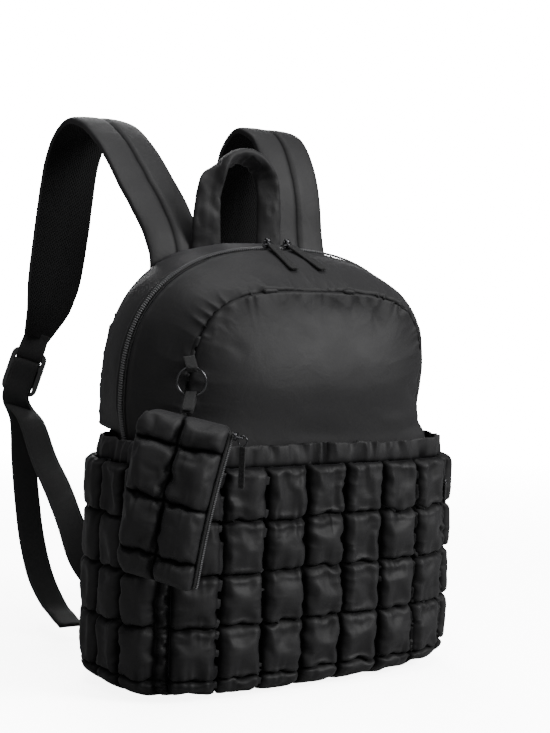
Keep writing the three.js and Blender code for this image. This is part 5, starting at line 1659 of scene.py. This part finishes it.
def pouchFace(name, side, height, seed, node):
    rowEdges = np.concatenate([[0], np.cumsum(pouch["rows"])]) / sum(pouch["rows"])
    seamsV = rowEdges[1:-1]
    u = np.linspace(0, 1, 2 * round(pouchWide / pouch["cell"] / 2) + 1)
    cellsIn = lambda low, high: max(5, round((high - low) * pouchTall / pouch["cell"]))
    rowSpans = zip(rowEdges, rowEdges[1:])
    v = np.unique(np.concatenate([np.linspace(a, b, cellsIn(a, b) + 1) for a, b in rowSpans]))
    u, v = np.meshgrid(u, v)
    rowGap = np.min([np.abs(v - s) for s in seamsV], axis=0) * pouchTall
    edgeGap = np.minimum(v, 1 - v) * pouchTall
    columnGap = np.abs(u - 0.5) * pouchWide
    sideGap = np.minimum(u, 1 - u) * pouchWide
    share = rise(sideGap, 12) * rise(edgeGap, 10)
    wave = pouch["jag"]
    drawnColumn = np.maximum(columnGap - wave * (1 + ripple(v * pouchTall / 7, u > 0.5, seed + 21)), 0)
    line = np.round(v * 3 + 0.5)
    drawnRow = np.maximum(rowGap - wave * 0.7 * (1 + ripple(u * pouchWide / 7, line, seed + 23)), 0)
    corner = pouch["corner"]
    cutX, cutZ = np.maximum(corner - drawnColumn, 0), np.maximum(corner - drawnRow, 0)
    nearest = np.minimum(drawnColumn, drawnRow)
    inside = np.where((cutX > 0) & (cutZ > 0), corner - np.hypot(cutX, cutZ), nearest)
    tile = mix(0.3, 1, rise(np.maximum(inside, 0), 6.5))
    swellShare = 0.8
    out = 1.4 + share * (3 + height * tile * swellShare)
    held = ((rowGap < 1e-6) | (columnGap < 1e-6)).astype(float)
    held[0, :] = held[-1, :] = held[:, 0] = held[:, -1] = 1
    place = pouchPoint(u, v, side * out)
    if side > 0:
        place = puffUp(name, place[:, ::-1], held[:, ::-1], pouch["sim"])[:, ::-1]
    place = refine(place)
    u, v, rowGap, columnGap = (refineValues(a) for a in (u, v, rowGap, columnGap))
    sideGap, edgeGap = refineValues(sideGap), refineValues(edgeGap)
    line = np.round(v * 3 + 0.5)
    nearEdge = np.exp(-np.minimum(sideGap, edgeGap) / 6)
    lift = 1.7 * fold(u * pouchWide / 7, line, seed) * fromSeam(rowGap, 7, 1.3)
    lift += 1.5 * fold(v * pouchTall / 8, u > 0.5, seed + 2) * fromSeam(columnGap, 6, 1.3)
    lift += 0.8 * fold((u * pouchWide + v * pouchTall) / 9, 0, seed + 4) * nearEdge
    lift += 0.7 * ripple(u * pouchWide / 15, v * pouchTall / 15, seed + 6)
    lift *= rise(np.minimum(sideGap, edgeGap), 5)
    place = place + pouchFacing * (side * lift)[..., None]
    inner = rise(np.minimum(sideGap, edgeGap), 8)
    drift = 1.5 * ripple(v * pouchTall / 8, 0.5, seed + 8) * np.exp(-columnGap / 6) * inner
    sway = 1.5 * ripple(u * pouchWide / 8, line, seed + 9) * np.exp(-rowGap / 6) * inner
    place = place + pouchAcross * drift[..., None] + upWay * sway[..., None]
    # painted shade along the row and column seams
    dark = np.maximum(hump(rowGap, 1.6), hump(columnGap, 1.8))
    flat = np.stack([u * pouchWide, v * pouchTall], -1)
    outward = facing(pouchFacing * side)
    piece = clothPiece(name, place, pouch["thick"], "satin", [node], outward, flat, shade=dark)


pouchFace("pouchFront", 1, pouch["puff"], 301, "pouch_front")
pouchFace("pouchBack", -1, pouch["puff"] * 0.45, 321, "pouch_back")
print("pouch made")


def makePouchZip():
    v = np.linspace(0.02, 0.99, 60)
    edge = pouchPoint(1.0, v, 0.0)
    # across the tape: place along the pouch's thickness, and height above its edge
    profile = ((-4, 0.9), (-3, 1.6), (-2, 2.0), (-1, 2.2), (0, 2.3), (1, 2.2), (2, 2.0), (3, 1.6), (4, 0.9))
    grid = np.array([edge + pouchFacing * n + pouchAcross * d for n, d in profile])
    clothPiece("pouchZipTape", grid, pouch["tape"], "zipTape", ["pouch_zip"], facing(pouchAcross))
    line = edge + pouchAcross * 2.3
    teethAlong("pouchZipCoil", line, facing(pouchFacing)(line), facing(pouchAcross)(line),
               1.45, 3.4, 1.4, "coil", 0.5)


makePouchZip()
sliderAt = pouchPoint(1.0, 0.045, 0.0) + pouchAcross * 3.9
pouchBail = 7.2
sliderAxes = axesAt(pouchFacing, pouchAcross, sliderAt)
makeSlider("pouchSlider", sliderAxes, "pouch_slider", 4.0, 2.4, pouchBail, 2.5, 7.0)
pouchPivot = sliderAt + pouchAcross * pouchBail
pullAcross = unit((pouchAcross[0], pouchAcross[1], 0))
pullAxes = (np.array([pullAcross, upWay, np.cross(pullAcross, upWay)]), pouchPivot)


def eyeAndTape(name, node, axes, eye, tape, body):
    # a wire eye and a ribbed tape hanging from it; local y runs up
    radius, tall, wire, middle = eye
    width, length, thick, ribPitch, ribHigh, tip, steps, top = tape
    angle = turns(eyeSides[name])
    path = np.stack([radius * np.cos(angle), tall * np.sin(angle) + middle, 0 * angle], -1)
    eyeRings = placed(wireRings(path, wire, 10, True), axes)
    parts = [tubePiece(name + "Eye", eyeRings, "gunmetal", looped=True, body=body)]
    ribbed = tapeRings(width, 0, length, thick, ribPitch, ribHigh, 0.0, tip, steps)
    ribbed = ribbed * np.array([1, -1, 1]) + np.array([0, top, 0])
    parts.append(tubePiece(name + "Tape", placed(ribbed, axes), "narrowTape", body=body))
    joinPieces(name, parts, [node], body)


eyeSides = {"pouchPull": 40, "sidePull": 32}
pouchEye = {"radius": 3.6, "tall": 3.6 * 1.2, "wire": 0.7, "hold": 0.8, "clear": 0.35}
eyeDrop = pouchEye["tall"] - pouchEye["wire"] - pouchEye["hold"] - pouchEye["clear"]
eyeFoot = pouchEye["radius"] * 2.4 - pouchEye["wire"] - pouchEye["hold"] - pouchEye["clear"]
eyeAndTape("pouchPull", "pouch_pull", pullAxes,
           (pouchEye["radius"], pouchEye["tall"], pouchEye["wire"], -eyeDrop),
           (5, 34, 1.8, 1.7, 0.22, 2.2, 70, -eyeFoot + 0.4), "pouch_pull")
pouchTop = pouchPoint(0.5, 0.0, 0.0) + [0, 0, 2.6]
ringFoot = ringCentre - upWay * ring["radius"]
tabWay = ringFoot - pouchTop
tabWay = unit(tabWay - tabWay.dot(acrossFront) * acrossFront)
tabSide = unit(np.cross(acrossFront, tabWay))
tabLoop("pouchTab", "pouch_tab", ringFoot, tabWay,
        (pouchTop + tabSide * 1.2 + tabWay * 1.6, pouchTop - tabSide * 1.2 + tabWay * 1.6))

# small pull on the right-hand gathered seam
sidePullArc = (frontArc + sideArc) / 2
sx, sy = planAt(sidePullArc, 0)
snx, sny = planNormal(sidePullArc)
sideOut = np.array([float(snx), float(sny), 0])
sideOrigin = np.array([float(sx), float(sy), 0]) + sideOut * (quilt["puff"] * 0.45 + 0.8)
sideAxes = (np.array([np.cross(upWay, sideOut), upWay, sideOut]), sideOrigin)
eyeAndTape("sidePull", "side_pull", sideAxes, (2.4, 2.4, 0.7, 170.5),
           (5, 18, 1.4, 1.6, 0.2, 2.0, 40, 168.4), bodyName)

# the base keeps its solid and gets the plain cloth
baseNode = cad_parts["base_panel"]
for place in baseNode.material_slots:
    place.material = looks["lining"]

print("all pieces made")
